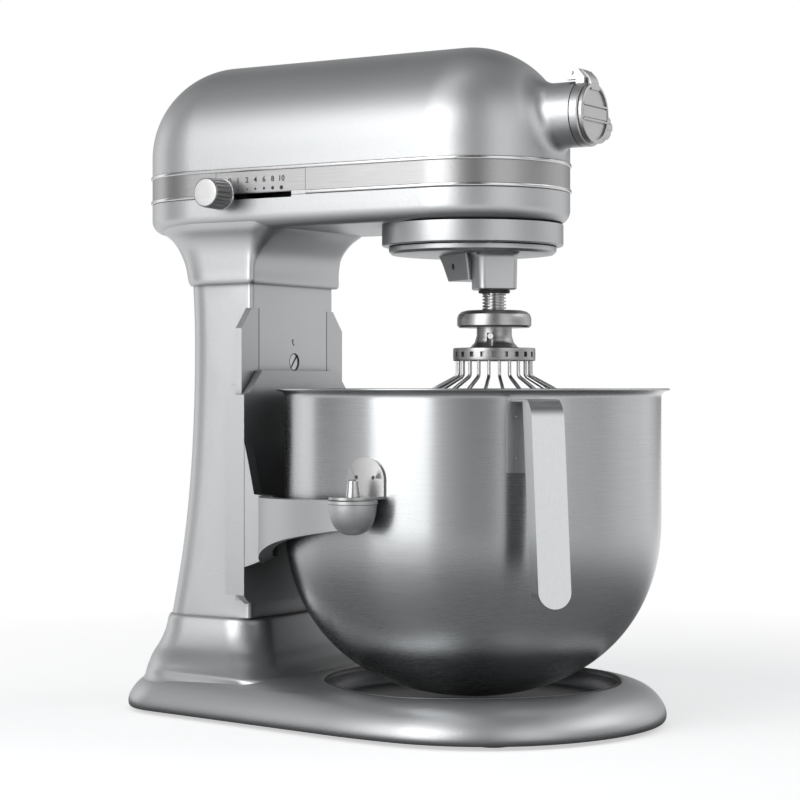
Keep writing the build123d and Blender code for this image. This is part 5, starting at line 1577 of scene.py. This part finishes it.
# ---- pieces kept as built ----------------------------------------------------------------
@dataclass(frozen=True)
class KeptPieces:
    """Bolts and drive parts that keep their built shape and only take a finish."""

    table: tuple = (
        ("zinc_steel", ("column_bolts", "neck_bolts", "case_screws", "drum_screws", "lift_shaft",
                        "lift_crank")),
        ("machined", ("motor_stator", "motor_rotor", "motor_worm", "worm_wheel", "gear_bridge",
                      "centre_shaft", "centre_bearing", "ring_gear", "planet_pinion", "hub_drive")),
        ("dark_plastic", ("motor_fan", "motor_frame", "brush_holders", "cord_gland")),
        ("board", ("control_board",)))

    def build(self, finishes: Finishes) -> None:
        """Give each kept node its finish.

        Args:
            finishes: every finish of the mixer.
        """
        for finish, nodes in self.table:
            for node in nodes:
                finishes.put(frame["nodes"][node], finish)
                LOG.info("%s: %s, kept as built", node, finish)


# ---- studio ------------------------------------------------------------------------------
@dataclass(frozen=True)
class Softbox:
    """One soft rectangular lamp that looks at the mixer."""

    name: str
    place: tuple[float, float, float]
    size: Pair
    power: float
    target: tuple[float, float, float] = (0.0, 0.06, 0.2)

    def build(self) -> None:
        """Hang the lamp and turn it to its target."""
        lamp = bpy.data.lights.new(self.name, "AREA")
        lamp.shape, lamp.energy = "RECTANGLE", self.power
        lamp.size, lamp.size_y = self.size
        hung = bpy.data.objects.new(self.name, lamp)
        hung.location = self.place
        aim = Vector(self.target) - Vector(self.place)
        hung.rotation_euler = aim.to_track_quat("-Z", "Y").to_euler()
        bpy.context.scene.collection.objects.link(hung)


@dataclass(frozen=True)
class Studio:
    """White sweep, mirrored surround, sky, soft lamps and camera."""

    camera: tuple[float, float, float] = (-1.2257, -0.6978, 0.208)
    look: Pair = (0.8526, 0.5225)
    lens: float = 101.25
    shift: float = -0.0144
    # sweep, in millimetres: it lies just under the feet
    near_end: float = -2600.0
    bend_at: float = 1800.0
    bend_r: float = 700.0
    wall_z: float = 2200.0
    half_width: float = 3200.0
    sink: float = 0.05
    # shares of the sweep's rows that lie flat and that bend
    flat_share: float = 0.6
    bend_share: float = 0.15
    # where the paper turns to plain white: distance out in metres, and the rates outwards and upwards
    white_from: float = 0.30
    white_out: float = 2.2
    white_up: float = 4.0
    # surround: radius, height of its upright part, height of its dome
    drum_r: float = 2350.0
    drum_h: float = 1000.0
    dome_h: float = 1100.0
    # bearing in degrees and brightness of the surround's panels
    panels: tuple[Pair, ...] = (
        (0, 0.38), (20, 0.3), (60, 0.5), (76, 0.85), (88, 1.3), (98, 1.3), (104, 0.3), (120, 0.3),
        (135, 0.62), (155, 0.85), (170, 0.75), (182, 0.62), (194, 0.45), (206, 0.12), (221, 0.12),
        (231, 1.2), (256, 1.2), (268, 0.6), (290, 0.42), (312, 0.85), (338, 1.0), (360, 0.38))
    # share of the full turn where a patch starts and stops, its strength and its brightness
    patches: tuple = ((0.34, 0.54, 0.55, 2.4), (0.10, 0.34, 0.7, 0.12))
    patch_edge: float = 14.0
    # height in metres from which the patches show and from which the dome darkens, and the rates
    patch_rise: Pair = (1.1, 3.0)
    dome_fade: Pair = (1.62, 2.3)
    dome_dark: Colour = (0.05, 0.05, 0.053)
    panel_power: float = 1.5
    sky_colour: Colour = (0.92, 0.95, 1.0)
    sky_power: float = 0.22
    lamps: tuple[Softbox, ...] = (
        Softbox("key_left", (-1.7, 0.4, 0.8), (1.3, 1.6), 17.5),
        Softbox("fill_front", (0.9, -1.6, 1.5), (1.5, 1.2), 7.0),
        Softbox("top_soft", (0.0, 0.1, 1.9), (1.4, 1.4), 1.2))

    def floor(self) -> None:
        """Curved sweep whose white shows to the camera as plain white but keeps the shadow; near the mixer,
        mirrors and bounce light see it as grey, a painted shade in the metal's reflections and in the bounce
        light.

        Along the sweep the rows run flat, turn up as a quarter of a circle, (bend_at + R sin b,
        R (1 - cos b)), and rise straight for the rest.
        """
        t = np.linspace(0, 1, 60)
        wall = self.flat_share + self.bend_share
        bend = np.clip((t - self.flat_share) / self.bend_share, 0, 1) * math.pi / 2
        flat = self.near_end + t / self.flat_share * (self.bend_at - self.near_end)
        run = np.where(t < self.flat_share, flat, self.bend_at + self.bend_r * np.sin(bend))[:, None]
        climb = np.clip((t - wall) / (1 - wall), 0, 1) * self.wall_z
        rise = self.bend_r * (1 - np.cos(bend)) + climb - self.sink
        across = np.linspace(-self.half_width, self.half_width, 41)
        x, y = run * self.look[0] + across * self.look[1], run * self.look[1] - across * self.look[0]
        grid = np.stack(np.broadcast_arrays(x, y, rise[:, None]), -1)
        sweep = Form("studio_sweep").patch(grid).build(Edge.SOFT, closed=False)
        bench = Bench.material("sweep_white")
        paper = bench.blend(bench.noise(3.0, 3.0), grey(0.90), grey(0.93))
        x, y, z = bench.axes()
        away = (x ** 2.0 + y ** 2.0) ** 0.5 - self.white_from
        far = (away * self.white_out + z * self.white_up).clamp()
        mirror = bench.ray("Glossy")
        seen = bench.ray("Camera")
        # painted shade: near the mixer the floor shows mid grey to mirror rays and dark grey to bounce light,
        # while the camera sees it near white
        dim = bench.blend(mirror, grey(0.25), grey(0.45))
        paper = bench.blend(seen, dim, paper)
        for ray in (mirror, bench.ray("Transmission")):
            seen = (seen + far * ray).clamp()
        base = bench.blend(far * seen, paper, grey(0.0))
        glow = bench.blend(seen, grey(0.0), bench.blend(far, grey(0.55), grey(1.0)))
        bench.finish(Base_Color=base, Roughness=0.9, Specular_IOR_Level=0.0, Emission_Color=glow,
                     Emission_Strength=1.0)
        sweep.data.materials.append(bench.owner)

    def surround(self) -> None:
        """Drum and dome round the set that only mirrors see: bright panels with darkness between."""
        turn = np.arange(181) * 2 * math.pi / 180
        rise = arc(0, 90, 24)
        wide = np.concatenate([np.full(6, self.drum_r), self.drum_r * np.cos(rise)])[:, None]
        low = np.linspace(-20, self.drum_h - 40, 6)
        z = np.concatenate([low, self.drum_h + self.dome_h * np.sin(rise)])[:, None]
        grid = np.stack(np.broadcast_arrays(wide * np.cos(turn), wide * np.sin(turn), z), -1)
        drum = Form("studio_surround").patch(grid).build(Edge.SOFT, closed=False)
        bench = Bench.material("surround_panels")
        x, y, height = bench.axes()
        bearing = bench.node("ShaderNodeMath", {"operation": "ARCTAN2"}, {0: y, 1: x}) * (0.5 / math.pi) + 1.0
        bearing = bench.node("ShaderNodeMath", {"operation": "FRACT"}, {0: bearing})
        stops = [(place / 360, grey(level / self.panel_power)) for place, level in self.panels]
        glow = bench.node("ShaderNodeValToRGB", {"stops": stops}, {"Fac": bearing})
        dark, high = (((height - low) * rate).clamp() for low, rate in (self.dome_fade, self.patch_rise))
        fade = bench.blend(dark, grey(1.0), self.dome_dark)
        for start, stop, share, level in self.patches:
            edge = self.patch_edge
            within = ((bearing - start) * edge).clamp() * ((stop - bearing) * edge).clamp()
            fade = bench.blend(high * within * share, fade, grey(level))
        glow = bench.blend(1.0, glow, fade, "MULTIPLY")
        bench.finish(Base_Color=(0.0, 0.0, 0.0, 1.0), Roughness=1.0, Emission_Color=glow,
                     Emission_Strength=self.panel_power)
        drum.data.materials.append(bench.owner)
        drum.visible_camera = drum.visible_diffuse = drum.visible_shadow = drum.visible_transmission = False

    def sky(self) -> None:
        """Even pale sky: plain white to the camera, to mirrors and through glass."""
        bpy.context.scene.world = bpy.data.worlds.new("studio_sky")
        bench = Bench(bpy.context.scene.world)
        seen = (bench.ray("Camera") + bench.ray("Glossy") + bench.ray("Transmission")).clamp()
        tint = (*self.sky_colour, 1.0)
        light = bench.node("ShaderNodeBackground", {}, {"Color": tint, "Strength": self.sky_power})
        white = bench.node("ShaderNodeBackground", {}, {"Strength": 1.0})
        bench.show(bench.node("ShaderNodeMixShader", {}, {0: seen, 1: light, 2: white}))

    def build(self) -> None:
        """Set the stage, the lamps and the camera."""
        self.floor()
        self.surround()
        self.sky()
        for lamp in self.lamps:
            lamp.build()
        data = bpy.data.cameras.new("view_camera")
        data.lens, data.sensor_width, data.shift_y = self.lens, 36.0, self.shift
        data.clip_start, data.clip_end = 0.05, 30.0
        camera = bpy.data.objects.new("view_camera", data)
        camera.location = self.camera
        camera.rotation_euler = Vector((*self.look, 0.0)).to_track_quat("-Z", "Y").to_euler()
        bpy.context.scene.collection.objects.link(camera)
        bpy.context.scene.camera = camera
        bpy.context.scene.view_settings.view_transform = "Standard"


def main() -> None:
    """Build the drive, the head, the stand, the bowl and the whisk, then the studio."""
    logging.basicConfig(level=logging.INFO, format="%(message)s")
    finishes = Finishes()
    for part in (KeptPieces(), UpperCasing(), LowerCasing(), TrimBand(), SpeedControl(), HubFront(),
                 BaseCasting(), Stand(), Bowl(), Planetary(), Whisk()):
        before = len(bpy.data.objects)
        part.build(finishes)
        LOG.info("%s: %d new pieces", type(part).__name__, len(bpy.data.objects) - before)
    Studio().build()


if __name__ == "__main__":
    main()
